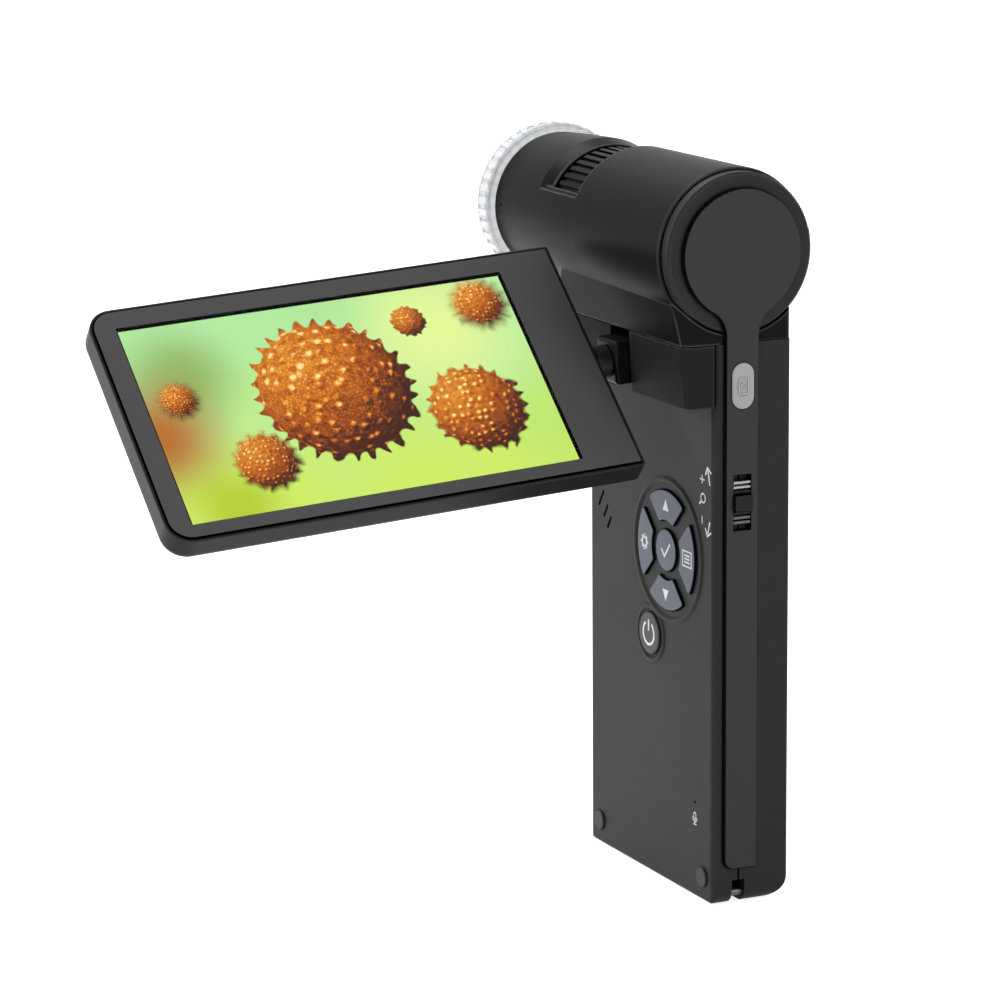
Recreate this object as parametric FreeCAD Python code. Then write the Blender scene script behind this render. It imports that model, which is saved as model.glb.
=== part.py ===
import FreeCAD, Part
import math
import os

# Hand-held LCD digital microscope: a flat upright handle, a barrel across its top,
# and a screen that folds out of the handle's broad front face on a two-axis hinge.
# Frame: +Z up along the handle, X across its width, the keys face -Y.
# The origin is the centre of the handle's bottom face. All sizes in millimetres.

# Handle casing
HANDLE_WIDTH = 76.0
HANDLE_DEPTH = 23.0
HANDLE_HEIGHT = 156.0
HANDLE_WALL = 2.0
STRIP_SIDE_WALL = 3.6
FRONT_EDGE_RADIUS = 2.5
REAR_EDGE_RADIUS = 1.2
BOTTOM_CORNER_RADIUS = 4.0
HEEL_RADIUS = 8.0
TOE_RADIUS = 1.2
SPLIT_Y = -4.0
SEAM_WIDTH = 0.4
SEAM_DEPTH = 0.4
HALF_WIDTH = HANDLE_WIDTH / 2
FRONT_Y = -HANDLE_DEPTH / 2
REAR_Y = HANDLE_DEPTH / 2
INNER_FRONT_Y = FRONT_Y + HANDLE_WALL
INNER_REAR_Y = REAR_Y - HANDLE_WALL
INNER_SIDE_X = HALF_WIDTH - STRIP_SIDE_WALL

# Barrel
SLEEVE_RADIUS = 22.7
AXIS_Z = HANDLE_HEIGHT + SLEEVE_RADIUS + 1.5
SLEEVE_MID_RADIUS = SLEEVE_RADIUS - 0.5
NOSE_MID_RADIUS = SLEEVE_RADIUS - 1.0
NOSE_RADIUS = SLEEVE_RADIUS - 2.3
SLEEVE_BORE = SLEEVE_RADIUS - 2.3
NOSE_BORE = SLEEVE_RADIUS - 4.7
NOSE_X = -HALF_WIDTH - 34.0
SLEEVE_END_X = HALF_WIDTH - 4.3
BORE_STEP_X = NOSE_X + 32.0
NECK_FRONT_Y = FRONT_Y - 9.3
NECK_TANGENT_Z = AXIS_Z - 12.2
NECK_HALF_LENGTH = HALF_WIDTH - 0.4
NECK_FRONT_RADIUS = 6.0

# Focus window and wheel
WINDOW_FRONT_X = NOSE_X + 28.5
WINDOW_FLOOR_X = WINDOW_FRONT_X + 5.9
WINDOW_REAR_X = WINDOW_FRONT_X + 23.5
WINDOW_HALF_ANGLE = 65.5
WINDOW_LIP_ANGLE = 3.5
WHEEL_RADIUS = SLEEVE_BORE - 0.3
WHEEL_FRONT_X = WINDOW_FLOOR_X + 0.3
WHEEL_REAR_X = WINDOW_REAR_X + 4.0
WHEEL_RIBS = 48
WHEEL_RIB_DEPTH = 0.7

# Lens tube, carriage and light ring
TUBE_RADIUS = NOSE_BORE - 2.0
TUBE_BORE = TUBE_RADIUS - 1.5
TUBE_FRONT_X = NOSE_X + 6.0
TUBE_REAR_X = WHEEL_REAR_X + 9.0
APERTURE_RADIUS = TUBE_BORE - 5.0
CARRIAGE_LENGTH = 12.0
FOCUS_TRAVEL = 4.5
CARRIAGE_REAR_X = TUBE_FRONT_X + 9.5 + FOCUS_TRAVEL + CARRIAGE_LENGTH
LENS_RADIUS = TUBE_BORE - 5.6
LENS_BOW = 28.0
LENS_STEPS = tuple(LENS_RADIUS * share for share in (0.28, 0.51, 0.70, 0.85, 1.0))
LED_COUNT = 8
LED_CIRCLE_RADIUS = NOSE_BORE - 4.0
LED_RADIUS = 1.8
LED_HEIGHT = 2.4
BOARD_THICKNESS = 1.2

# Clear front cap
CAP_RADIUS = NOSE_RADIUS + 2.5
CAP_LENGTH = 7.4
CAP_WALL = 1.8
CAP_BORE = NOSE_BORE - 1.0
CAP_SKIRT_LENGTH = 4.6
CAP_FLUTES = 40
CAP_FLUTE_RADIUS = 1.1

# Brightness dial and side strip
DIAL_RADIUS = SLEEVE_RADIUS - 0.95
DIAL_THICKNESS = 3.9
DIAL_HUB_RADIUS = 8.0
DIAL_RIB_COUNT = 19
DIAL_RIB_START = 35.0
DIAL_RIB_PITCH = 2.2
STRIP_WIDTH = 9.8
STRIP_FACE_X = HALF_WIDTH + 1.4
STRIP_BACK_X = HALF_WIDTH + 0.15
STRIP_CHANNEL_DEPTH = 0.8
STRIP_DISC_RADIUS = DIAL_RADIUS - 4.15
STRIP_BOTTOM_Z = 10.5
STRIP_CORNER_RADIUS = 3.0
STRIP_BLEND_RADIUS = 8.0

# Shutter button and zoom slider
SHUTTER_Z = HANDLE_HEIGHT - 11.3
SHUTTER_WIDTH = 6.6
SHUTTER_LENGTH = 12.6
SHUTTER_PROUD = 0.5
SHUTTER_TRAVEL = 0.8
ZOOM_Z = HANDLE_HEIGHT - 43.2
ZOOM_SLOT_WIDTH = 5.5
ZOOM_SLOT_LENGTH = 15.5
ZOOM_KNOB_LENGTH = 12.0
ZOOM_TRAVEL = 1.5

# Keypad
PAD_X = HALF_WIDTH - 27.2
PAD_Z = HANDLE_HEIGHT - 61.2
PAD_OUTER_RADIUS = 16.8
PAD_INNER_RADIUS = 8.3
PAD_KEY_GAP = 4.8
PAD_RIM_RADIUS = 19.6
PAD_RIM_WIDTH = 2.2
PAD_RIM_HEIGHT = 0.5
OK_KEY_RADIUS = 5.9
POWER_X = PAD_X - 10.2
POWER_Z = PAD_Z - 25.6
POWER_KEY_RADIUS = 5.9
POWER_RIM_RADIUS = 7.6
POWER_RIM_WIDTH = 1.8
POWER_RIM_HEIGHT = 0.45
KEY_PROUD = 0.8
KEY_TRAVEL = 0.6
KEY_FLANGE = 0.8

# Fold and swivel hinge
FOLD_Y = FRONT_Y - 7.0
FOLD_Z = HANDLE_HEIGHT - 8.6
HINGE_BOTTOM_Z = HANDLE_HEIGHT - 17.0
HINGE_FRONT_Y = FRONT_Y - 9.3
HINGE_CORNER_RADIUS = 4.0
HINGE_DRAFT = 0.8
KNUCKLE_RADIUS = 6.0
KNUCKLE_WIDTH = 11.0
KNUCKLE_NOSE = 6.4
PIN_RADIUS = 1.2
PIN_LENGTH = 44.0
SHAFT_RADIUS = 3.0
SHAFT_COLLAR_RADIUS = 4.4

# Screen
SCREEN_DROOP = 3.5
SCREEN_TURN = 44.0
SCREEN_START = 11.0
DISPLAY_LENGTH = 110.7
DISPLAY_WIDTH = 62.3
DISPLAY_START = 17.7
DISPLAY_SHIFT = 0.8
SCREEN_LENGTH = DISPLAY_START + DISPLAY_LENGTH + 7.6
SCREEN_WIDTH = DISPLAY_WIDTH + 12.7
SCREEN_THICKNESS = 9.5
SCREEN_BACK_RADIUS = 3.0
SCREEN_FREE_CORNER = 7.0
SCREEN_HINGE_CORNER = 1.0
SCREEN_WALL = 1.8
BEZEL_THICKNESS = 2.2
BEZEL_INSET = 0.8
BEZEL_STEP = 0.5
DISPLAY_MARGIN = 0.7
WINDOW_THICKNESS = 0.8
WINDOW_RECESS = 0.15
SCREEN_BOARD_INSET = 20.0
SHAFT_REACH = 14.0

# Speaker slots (x, z, length between end centres), microphone hole and bumpers
SPEAKER_X = -HALF_WIDTH + 10.8
SPEAKER_Z = PAD_Z + 3.8
SPEAKER_SLOTS = ((SPEAKER_X - 2.8, SPEAKER_Z + 3.2, 4.8), (SPEAKER_X, SPEAKER_Z, 3.7),
                 (SPEAKER_X + 2.2, SPEAKER_Z - 3.0, 3.6))
SPEAKER_SLOT_RADIUS = 0.55
SPEAKER_SLOT_LEAN = 34.0
SPEAKER_RADIUS = 7.5
SPEAKER_MAGNET_RADIUS = 4.5
MIC_CENTRE = (HALF_WIDTH - 11.2, 27.0)
MIC_RADIUS = 2.0
MIC_HOLE_RADIUS = 0.5
BUMPER_X = HALF_WIDTH - 6.8
BUMPER_Z = 6.8
BUMPER_RADIUS = 2.8
BUMPER_POCKET = 0.8
BUMPER_PROUD = 0.7

# Screw bosses, strap notch and tripod insert
BOSS_TOP_Z = HANDLE_HEIGHT - 10.0
BOSSES = ((-HALF_WIDTH + 7.0, 14.0), (HALF_WIDTH - 8.5, 16.0),
          (-HALF_WIDTH + 7.0, BOSS_TOP_Z), (HALF_WIDTH - 16.0, BOSS_TOP_Z))
BOSS_RADIUS = 3.0
SCREW_RADIUS = 1.1
SCREW_HEAD_RADIUS = 2.1
SCREW_WELL_DEPTH = 3.0
SCREW_CROSS = 1.4
NOTCH_WIDTH = 4.0
NOTCH_HEIGHT = 6.9
NOTCH_DEPTH = 7.0
BAR_RADIUS = 1.0
BAR_X = HALF_WIDTH - 2.4
BAR_Z = 2.8
BAR_HALF_LENGTH = 4.6
TRIPOD_X = -14.0
TRIPOD_Y = SPLIT_Y + 5.7
TRIPOD_RADIUS = 3.175
TRIPOD_DEPTH = 7.0
INSERT_RADIUS = 4.4
INSERT_WALL = 1.2
INSERT_BOTTOM_Z = 0.45

# Sockets on the side away from the strip
USB_Z = 44.0
USB_Y = SPLIT_Y + 6.0
USB_RADIUS = 1.6
USB_HALF = 2.9
CARD_Z = 66.0
CARD_HALF = 6.0
RESET_Z = 82.0

# Boards, cell and their posts
SIDE_BOARD_X = INNER_SIDE_X - 6.2
SIDE_BOARD_REAR_Y = SPLIT_Y + 4.5
SIDE_BOARD_Z = (ZOOM_Z - 10.8, HANDLE_HEIGHT - 4.0)
SIDE_MOUNT_Z = (ZOOM_Z - 4.8, HANDLE_HEIGHT - 18.0)
KEY_BOARD_X = (PAD_X - 23.8, SIDE_BOARD_X - 0.6)
KEY_BOARD_Z = (POWER_Z - 11.2, PAD_Z + 21.2)
KEY_BOARD_POSTS = ((PAD_X - 21.8, PAD_Z + 18.2), (PAD_X + 13.2, POWER_Z - 3.2),
                   (PAD_X - 21.8, POWER_Z - 7.2))
KEY_POST_RADIUS = 1.6
DOME_RADIUS = 2.5
DOME_HEIGHT = 0.5
KEY_FLANGE_RISE = 0.7
MAIN_BOARD_Y = SPLIT_Y + 2.0
MAIN_BOARD_X = (-HALF_WIDTH + 5.0, SIDE_BOARD_X - 2.2)
MAIN_BOARD_Z = (HANDLE_HEIGHT - 58.0, HANDLE_HEIGHT - 18.0)
MAIN_BOARD_POSTS = tuple((x, z) for z in (MAIN_BOARD_Z[0] + 4.0, MAIN_BOARD_Z[1] - 4.0)
                         for x in (MAIN_BOARD_X[0] + 5.0, MAIN_BOARD_X[1] - 6.0))
MAIN_POST_RADIUS = 1.8
BATTERY_X = (-HALF_WIDTH + 18.0, MAIN_BOARD_X[1])
BATTERY_Z = (20.0, MAIN_BOARD_Z[0] - 6.0)
BATTERY_FRONT_Y = SPLIT_Y + 2.6

# Wire ways through the neck
WIRE_WAY_X = (-HALF_WIDTH + 14.0, HALF_WIDTH - 26.0)
NECK_HOLLOW_HALF = HALF_WIDTH - 12.0
HINGE_PEG_X = HALF_WIDTH - 18.0
HINGE_PEG_Z = HINGE_BOTTOM_Z + 8.0
HINGE_PEG_RADIUS = 0.9

# Grub screws in the sleeve (x, angle off the top)
GRUB_SCREWS = ((SLEEVE_END_X - 18.7, -12.0), (NOSE_X + 5.5, 86.0))
GRUB_RADIUS = 0.8

# Clearances
RUNNING = 0.05
SLIDING = 0.15
SEATING = 0.05

CHANNEL_X = HALF_WIDTH - STRIP_CHANNEL_DEPTH
KEY_SEAT_Y = INNER_FRONT_Y + 0.2
KEY_BOARD_Y = KEY_SEAT_Y + KEY_FLANGE + KEY_TRAVEL + DOME_HEIGHT + 0.2

PAD_KEYS = (("up_key", 0.0), ("right_key", 90.0), ("down_key", 180.0), ("left_key", 270.0))
ROUND_KEYS = (("ok_key", PAD_X, PAD_Z, OK_KEY_RADIUS),
              ("power_key", POWER_X, POWER_Z, POWER_KEY_RADIUS))

SCREEN_END = SCREEN_START + SCREEN_LENGTH
HALF_SCREEN = SCREEN_WIDTH / 2
FACE_N = SCREEN_THICKNESS / 2
RIM_N = FACE_N - BEZEL_STEP
DISPLAY_X0 = SCREEN_START + DISPLAY_START
DISPLAY_X1 = DISPLAY_X0 + DISPLAY_LENGTH
DISPLAY_Y0 = DISPLAY_SHIFT - DISPLAY_WIDTH / 2
DISPLAY_Y1 = DISPLAY_SHIFT + DISPLAY_WIDTH / 2
COVER_POSTS = ((SCREEN_START + 5, HALF_SCREEN - 6), (SCREEN_START + 5, -HALF_SCREEN + 6),
               (SCREEN_END - 3.9, HALF_SCREEN - 9), (SCREEN_END - 3.9, -HALF_SCREEN + 9))

VEC = FreeCAD.Vector
AXIS_X = VEC(1, 0, 0)
AXIS_Y = VEC(0, 1, 0)
AXIS_UP = VEC(0, 0, 1)
BARREL_POINT = VEC(0, SPLIT_Y, AXIS_Z)


def block(x0, x1, y0, y1, z0, z1):
    """A box between two corners."""
    return Part.makeBox(x1 - x0, y1 - y0, z1 - z0, VEC(x0, y0, z0))


def rod_x(radius, x0, x1, y, z):
    """A cylinder along X."""
    return Part.makeCylinder(radius, x1 - x0, VEC(x0, y, z), AXIS_X)


def rod_y(radius, y0, y1, x, z):
    """A cylinder along Y."""
    return Part.makeCylinder(radius, y1 - y0, VEC(x, y0, z), AXIS_Y)


def rod_z(radius, z0, z1, x, y):
    """A cylinder along Z."""
    return Part.makeCylinder(radius, z1 - z0, VEC(x, y, z0), AXIS_UP)


def corner_loop(corners):
    """A closed wire through (a, b, radius) corners in the XY plane, each corner rounded."""
    edges = []
    count = len(corners)
    starts = []
    ends = []
    arcs = []
    for i in range(count):
        before = VEC(corners[i - 1][0], corners[i - 1][1], 0)
        here = VEC(corners[i][0], corners[i][1], 0)
        after = VEC(corners[(i + 1) % count][0], corners[(i + 1) % count][1], 0)
        radius = corners[i][2]
        to_before = (before - here).normalize()
        to_after = (after - here).normalize()
        half_turn = to_before.getAngle(to_after) / 2
        if radius <= 0:
            starts.append(here)
            ends.append(here)
            arcs.append(None)
            continue
        reach = radius / math.tan(half_turn)
        bisector = (to_before + to_after).normalize()
        centre = here + bisector * (radius / math.sin(half_turn))
        starts.append(here + to_before * reach)
        ends.append(here + to_after * reach)
        arcs.append(centre - bisector * radius)
    for i in range(count):
        if arcs[i] is not None:
            edges.append(Part.Arc(starts[i], arcs[i], ends[i]).toShape())
        following = starts[(i + 1) % count]
        if ends[i].distanceToPoint(following) > 1e-6:
            edges.append(Part.makeLine(ends[i], following))
    return Part.Wire(edges)


def prism(corners, low, high, axis):
    """A rounded outline extruded along an axis: outlines are (x, y), (x, z) or (y, z)."""
    face = Part.Face(corner_loop(corners))
    solid = face.extrude(VEC(0, 0, high - low))
    if axis == "y":
        solid.translate(VEC(0, 0, -high))
        solid.rotate(VEC(0, 0, 0), AXIS_X, 90)
        return solid
    solid.translate(VEC(0, 0, low))
    if axis == "x":
        solid.rotate(VEC(0, 0, 0), VEC(1, 1, 1), 120)
    return solid


def rectangle(a0, a1, b0, b1, low_low, high_low, high_high, low_high):
    """Corners of a rectangle with four corner radii, anticlockwise from the low corner."""
    return [(a0, b0, low_low), (a1, b0, high_low), (a1, b1, high_high), (a0, b1, low_high)]


def turned(points, angle=360.0, start=0.0):
    """A solid turned about the barrel's axis from (x, radius) points, from an angle off +Z."""
    wire = Part.makePolygon([VEC(x, SPLIT_Y, AXIS_Z + r) for x, r in points + points[:1]])
    solid = Part.Face(wire).revolve(BARREL_POINT, AXIS_X, angle)
    if start:
        solid.rotate(BARREL_POINT, AXIS_X, start)
    return solid


def ring(inner, outer, x0, x1):
    """A plain ring about the barrel's axis."""
    body = rod_x(outer, x0, x1, SPLIT_Y, AXIS_Z)
    return body.cut(rod_x(inner, x0 - 1, x1 + 1, SPLIT_Y, AXIS_Z))


def around_barrel(shape, degrees):
    """A copy turned about the barrel's axis."""
    copy = shape.copy()
    copy.rotate(BARREL_POINT, AXIS_X, degrees)
    return copy


def stadium(width, length, x0, x1, z, grow=0.0):
    """A vertical slot shape with round ends on the side strip's centre line."""
    radius = width / 2 + grow
    half = length / 2 - width / 2
    body = block(x0, x1, SPLIT_Y - radius, SPLIT_Y + radius, z - half, z + half)
    for end in (-half, half):
        body = body.fuse(rod_x(radius, x0, x1, SPLIT_Y, z + end))
    return body.removeSplitter()


def sector_outline(grow):
    """The upper key of the four-way pad, seen from the front, before it is turned."""
    outer = PAD_OUTER_RADIUS + grow
    inner = PAD_INNER_RADIUS - grow
    half_gap = PAD_KEY_GAP / 2 - grow
    outer_angle = math.radians(45) - math.asin(half_gap / outer)
    inner_angle = math.radians(45) - math.asin(half_gap / inner)

    def point(radius, angle):
        return VEC(PAD_X + radius * math.sin(angle), 0, PAD_Z + radius * math.cos(angle))

    edges = [
        Part.Arc(point(outer, -outer_angle), point(outer, 0), point(outer, outer_angle)).toShape(),
        Part.makeLine(point(outer, outer_angle), point(inner, inner_angle)),
        Part.Arc(point(inner, inner_angle), point(inner, 0), point(inner, -inner_angle)).toShape(),
        Part.makeLine(point(inner, -inner_angle), point(outer, -outer_angle)),
    ]
    return Part.Face(Part.Wire(edges))


def sector(y0, y1, turn, grow=0.0):
    """One arc-shaped key or its opening, extruded along Y and turned about the pad's centre."""
    solid = sector_outline(grow).extrude(VEC(0, y1 - y0, 0))
    solid.translate(VEC(0, y0, 0))
    upright = [edge for edge in solid.Edges
               if len(edge.Vertexes) == 2 and abs(edge.Vertexes[0].X - edge.Vertexes[1].X) < 1e-6
               and abs(edge.Vertexes[0].Z - edge.Vertexes[1].Z) < 1e-6]
    solid = solid.makeFillet(0.9 + grow / 2, upright)
    solid.rotate(VEC(PAD_X, 0, PAD_Z), AXIS_Y, turn)
    return solid


def handle_envelope(inset):
    """The handle's outer form, or the same form drawn in by a wall."""
    left = -HALF_WIDTH + inset
    right = HALF_WIDTH - inset
    front = FRONT_Y + inset
    rear = REAR_Y - inset
    top = HANDLE_HEIGHT - inset
    front_r = max(FRONT_EDGE_RADIUS - inset, 0.3)
    rear_r = max(REAR_EDGE_RADIUS - inset, 0.3)
    corner_r = max(BOTTOM_CORNER_RADIUS - inset, 0.3)
    heel_r = max(HEEL_RADIUS - inset, 0.3)
    toe_r = max(TOE_RADIUS - inset, 0.2)
    plan = prism(rectangle(left, right, front, rear, front_r, front_r, rear_r, rear_r),
                 inset, top, "z")
    front_view = prism(rectangle(left, right, inset, top, corner_r, corner_r, 0, 0),
                       front - 1, rear + 1, "y")
    side_view = prism(rectangle(front, rear, inset, top, toe_r, heel_r, 0, 0),
                      left - 1, right + 1, "x")
    return plan.common(front_view).common(side_view)


def strip_outline_cut(x0, x1, grow):
    """The upright stem of the side strip, or the channel that it lies in."""
    half = STRIP_WIDTH / 2 + grow
    outline = rectangle(SPLIT_Y - half, SPLIT_Y + half, STRIP_BOTTOM_Z - grow, HANDLE_HEIGHT,
                        STRIP_CORNER_RADIUS, STRIP_CORNER_RADIUS / 3, 0, 0)
    return prism(outline, x0, x1, "x")


def side_cuts():
    """What both casing halves lose on the strip's side: channel, button and slider ways."""
    channel = strip_outline_cut(CHANNEL_X, HALF_WIDTH + 2, SLIDING)
    button_way = stadium(SHUTTER_WIDTH, SHUTTER_LENGTH, INNER_SIDE_X - 1, HALF_WIDTH, SHUTTER_Z,
                         SLIDING)
    slider_way = block(INNER_SIDE_X - 1, HALF_WIDTH, SPLIT_Y - 1.2, SPLIT_Y + 1.2,
                       ZOOM_Z - 2.5 - ZOOM_TRAVEL - SLIDING, ZOOM_Z + 2.5 + ZOOM_TRAVEL + SLIDING)
    notch = block(HALF_WIDTH - NOTCH_DEPTH, HALF_WIDTH + 2, SPLIT_Y - NOTCH_WIDTH / 2,
                  SPLIT_Y + NOTCH_WIDTH / 2, -1, NOTCH_HEIGHT)
    bar_way = rod_y(BAR_RADIUS + RUNNING, SPLIT_Y - 5, SPLIT_Y + 5, BAR_X, BAR_Z)
    return channel, button_way, slider_way, notch, bar_way


def casing_half(y0, y1):
    """One half of the handle's casing: its walls, a vent at the top and the side cuts."""
    half_space = block(-60, 60, y0, y1, -10, 200)
    outer = handle_envelope(0.0)
    inner = handle_envelope(HANDLE_WALL)
    thick_side = block(INNER_SIDE_X, HALF_WIDTH, FRONT_Y, REAR_Y, 0, HANDLE_HEIGHT)
    shell = outer.cut(inner.cut(thick_side))
    tray = block(HALF_WIDTH - NOTCH_DEPTH - 2, HALF_WIDTH - 1, SPLIT_Y - NOTCH_WIDTH / 2 - 3,
                 SPLIT_Y + NOTCH_WIDTH / 2 + 3, 1, NOTCH_HEIGHT + 2)
    shell = shell.fuse(tray.common(outer))
    seam = outer.cut(handle_envelope(SEAM_DEPTH))
    seam = seam.common(block(-60, HALF_WIDTH - 5, SPLIT_Y - SEAM_WIDTH / 2,
                             SPLIT_Y + SEAM_WIDTH / 2, -10, HANDLE_HEIGHT - 1))
    shell = shell.cut(seam)
    shell = shell.common(half_space)
    wire_way = block(*WIRE_WAY_X, FRONT_Y + 4.5, REAR_Y - 4.5, HANDLE_HEIGHT - 3, HANDLE_HEIGHT + 1)
    shell = shell.cut(wire_way)
    for cut in side_cuts():
        shell = shell.cut(cut)
    return shell


def rim(x, z, radius, width, height):
    """A low round ridge on the front face, half-round in section."""
    outline = Part.Arc(VEC(x + radius - width / 2, FRONT_Y, z), VEC(x + radius, FRONT_Y - height, z),
                       VEC(x + radius + width / 2, FRONT_Y, z)).toShape()
    base = Part.makePolygon([VEC(x + radius + width / 2, FRONT_Y, z),
                             VEC(x + radius + width / 2, FRONT_Y + 0.4, z),
                             VEC(x + radius - width / 2, FRONT_Y + 0.4, z),
                             VEC(x + radius - width / 2, FRONT_Y, z)])
    face = Part.Face(Part.Wire([outline] + base.Edges))
    return face.revolve(VEC(x, 0, z), AXIS_Y, 360)


def speaker_slot(x, z, length, y0, y1):
    """A short leaning sound slot with round ends."""
    radius = SPEAKER_SLOT_RADIUS
    body = block(x - radius, x + radius, y0, y1, z - length / 2, z + length / 2)
    for end in (-length / 2, length / 2):
        body = body.fuse(rod_y(radius, y0, y1, x, z + end))
    body = body.removeSplitter()
    body.rotate(VEC(x, 0, z), AXIS_Y, SPEAKER_SLOT_LEAN)
    return body


def make_front_casing():
    shell = casing_half(FRONT_Y - 1, SPLIT_Y)
    shell = shell.fuse(rim(PAD_X, PAD_Z, PAD_RIM_RADIUS, PAD_RIM_WIDTH, PAD_RIM_HEIGHT))
    shell = shell.fuse(rim(POWER_X, POWER_Z, POWER_RIM_RADIUS, POWER_RIM_WIDTH,
                            POWER_RIM_HEIGHT))
    low = FRONT_Y - 2
    high = INNER_FRONT_Y + 1
    for x, z in BOSSES:
        shell = shell.fuse(rod_y(BOSS_RADIUS, INNER_FRONT_Y - 0.5, SPLIT_Y, x, z))
        shell = shell.cut(rod_y(SCREW_RADIUS - 0.1, INNER_FRONT_Y + 1, SPLIT_Y + 1, x, z))
    for x, z in KEY_BOARD_POSTS:
        shell = shell.fuse(rod_y(KEY_POST_RADIUS, INNER_FRONT_Y - 0.5, KEY_BOARD_Y, x, z))
    for _, turn in PAD_KEYS:
        shell = shell.cut(sector(low, high, turn, SLIDING))
    for _, x, z, radius in ROUND_KEYS:
        shell = shell.cut(rod_y(radius + SLIDING, low, high, x, z))
    for x, z, length in SPEAKER_SLOTS:
        shell = shell.cut(speaker_slot(x, z, length, low, high))
    shell = shell.cut(rod_y(MIC_HOLE_RADIUS, low, high, *MIC_CENTRE))
    for side in (-1, 1):
        pocket = rod_y(BUMPER_RADIUS + 0.1, low, FRONT_Y + BUMPER_POCKET, side * BUMPER_X, BUMPER_Z)
        shell = shell.cut(pocket)
    for side in (-1, 1):
        shell = shell.cut(rod_y(HINGE_PEG_RADIUS + 0.1, low, high, side * HINGE_PEG_X, HINGE_PEG_Z))
    return shell


def make_rear_casing():
    shell = casing_half(SPLIT_Y, REAR_Y + 1)
    for x, z in BOSSES:
        shell = shell.fuse(rod_y(BOSS_RADIUS, SPLIT_Y, REAR_Y - 0.5, x, z))
        shell = shell.cut(rod_y(SCREW_RADIUS + 0.15, SPLIT_Y - 1, REAR_Y + 1, x, z))
        shell = shell.cut(rod_y(SCREW_HEAD_RADIUS + 0.2, REAR_Y - SCREW_WELL_DEPTH, REAR_Y + 1, x, z))
    for x, z in MAIN_BOARD_POSTS:
        shell = shell.fuse(rod_y(MAIN_POST_RADIUS, MAIN_BOARD_Y + BOARD_THICKNESS, REAR_Y - 1, x, z))
    shell = shell.fuse(block(SIDE_BOARD_X - 1, SIDE_BOARD_X + 2.2, SIDE_BOARD_REAR_Y, REAR_Y - 1,
                             *SIDE_MOUNT_Z))
    pocket_top = HANDLE_WALL + TRIPOD_DEPTH + 2
    shell = shell.fuse(rod_z(INSERT_RADIUS + INSERT_WALL, 1.0, pocket_top, TRIPOD_X, TRIPOD_Y))
    shell = shell.cut(rod_z(INSERT_RADIUS + SEATING, -1, TRIPOD_DEPTH + 1.5, TRIPOD_X, TRIPOD_Y))
    shell = shell.cut(usb_shape(-HALF_WIDTH - 1, -HALF_WIDTH + 3, 0.15))
    shell = shell.cut(block(-HALF_WIDTH - 1, -HALF_WIDTH + 3, USB_Y - 0.9, USB_Y + 0.9,
                            CARD_Z - CARD_HALF, CARD_Z + CARD_HALF))
    shell = shell.cut(rod_x(0.5, -HALF_WIDTH - 1, -HALF_WIDTH + 3, USB_Y, RESET_Z))
    return shell


def usb_shape(x0, x1, grow):
    """The rounded mouth of the data and charging socket, upright on the hidden side."""
    radius = USB_RADIUS + grow
    body = block(x0, x1, USB_Y - radius, USB_Y + radius, USB_Z - USB_HALF, USB_Z + USB_HALF)
    for end in (-USB_HALF, USB_HALF):
        body = body.fuse(rod_x(radius, x0, x1, USB_Y, USB_Z + end))
    return body.removeSplitter()


def make_usb_socket():
    body = usb_shape(-HALF_WIDTH + 0.4, -HALF_WIDTH + 8, 0.0)
    hollow = usb_shape(-HALF_WIDTH, -HALF_WIDTH + 6.5, -0.35)
    tongue = block(-HALF_WIDTH + 1.4, -HALF_WIDTH + 7, USB_Y - 0.35, USB_Y + 0.35,
                   USB_Z - 2.6, USB_Z + 2.6)
    foot = block(-HALF_WIDTH + 3, -HALF_WIDTH + 8, USB_Y + 1.2, INNER_REAR_Y - SEATING,
                 USB_Z - 3, USB_Z + 3)
    return body.cut(hollow).fuse(tongue).fuse(foot)


def make_card_socket():
    body = block(-HALF_WIDTH + HANDLE_WALL + SEATING, -HALF_WIDTH + 16, USB_Y - 1.4, USB_Y + 1.4,
                 CARD_Z - 7, CARD_Z + 7)
    mouth = block(-HALF_WIDTH, -HALF_WIDTH + 14, USB_Y - 0.6, USB_Y + 0.6, CARD_Z - 5.6, CARD_Z + 5.6)
    foot = block(-HALF_WIDTH + 5, -HALF_WIDTH + 14, USB_Y + 1.4, INNER_REAR_Y - SEATING,
                 CARD_Z - 6, CARD_Z + 6)
    return body.cut(mouth).fuse(foot)


def make_casing_screws():
    """Four screws that enter from the rear casing and hold the front one."""
    screws = []
    for x, z in BOSSES:
        head = rod_y(SCREW_HEAD_RADIUS, REAR_Y - SCREW_WELL_DEPTH, REAR_Y - 1.2, x, z)
        shank = rod_y(SCREW_RADIUS - 0.1, INNER_FRONT_Y + 1.2, REAR_Y - SCREW_WELL_DEPTH, x, z)
        slot = block(x - SCREW_CROSS, x + SCREW_CROSS, REAR_Y - 2.0, REAR_Y, z - 0.25, z + 0.25)
        cross = block(x - 0.25, x + 0.25, REAR_Y - 2.0, REAR_Y, z - SCREW_CROSS, z + SCREW_CROSS)
        screws.append(head.fuse(shank).cut(slot).cut(cross))
    return Part.makeCompound(screws)


def make_tripod_insert():
    """A brass bush with the quarter-inch camera thread, shown as its plain bore."""
    body = rod_z(INSERT_RADIUS, INSERT_BOTTOM_Z, TRIPOD_DEPTH + 1.4, TRIPOD_X, TRIPOD_Y)
    bore = rod_z(TRIPOD_RADIUS, -1, TRIPOD_DEPTH, TRIPOD_X, TRIPOD_Y)
    return body.cut(bore)


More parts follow.
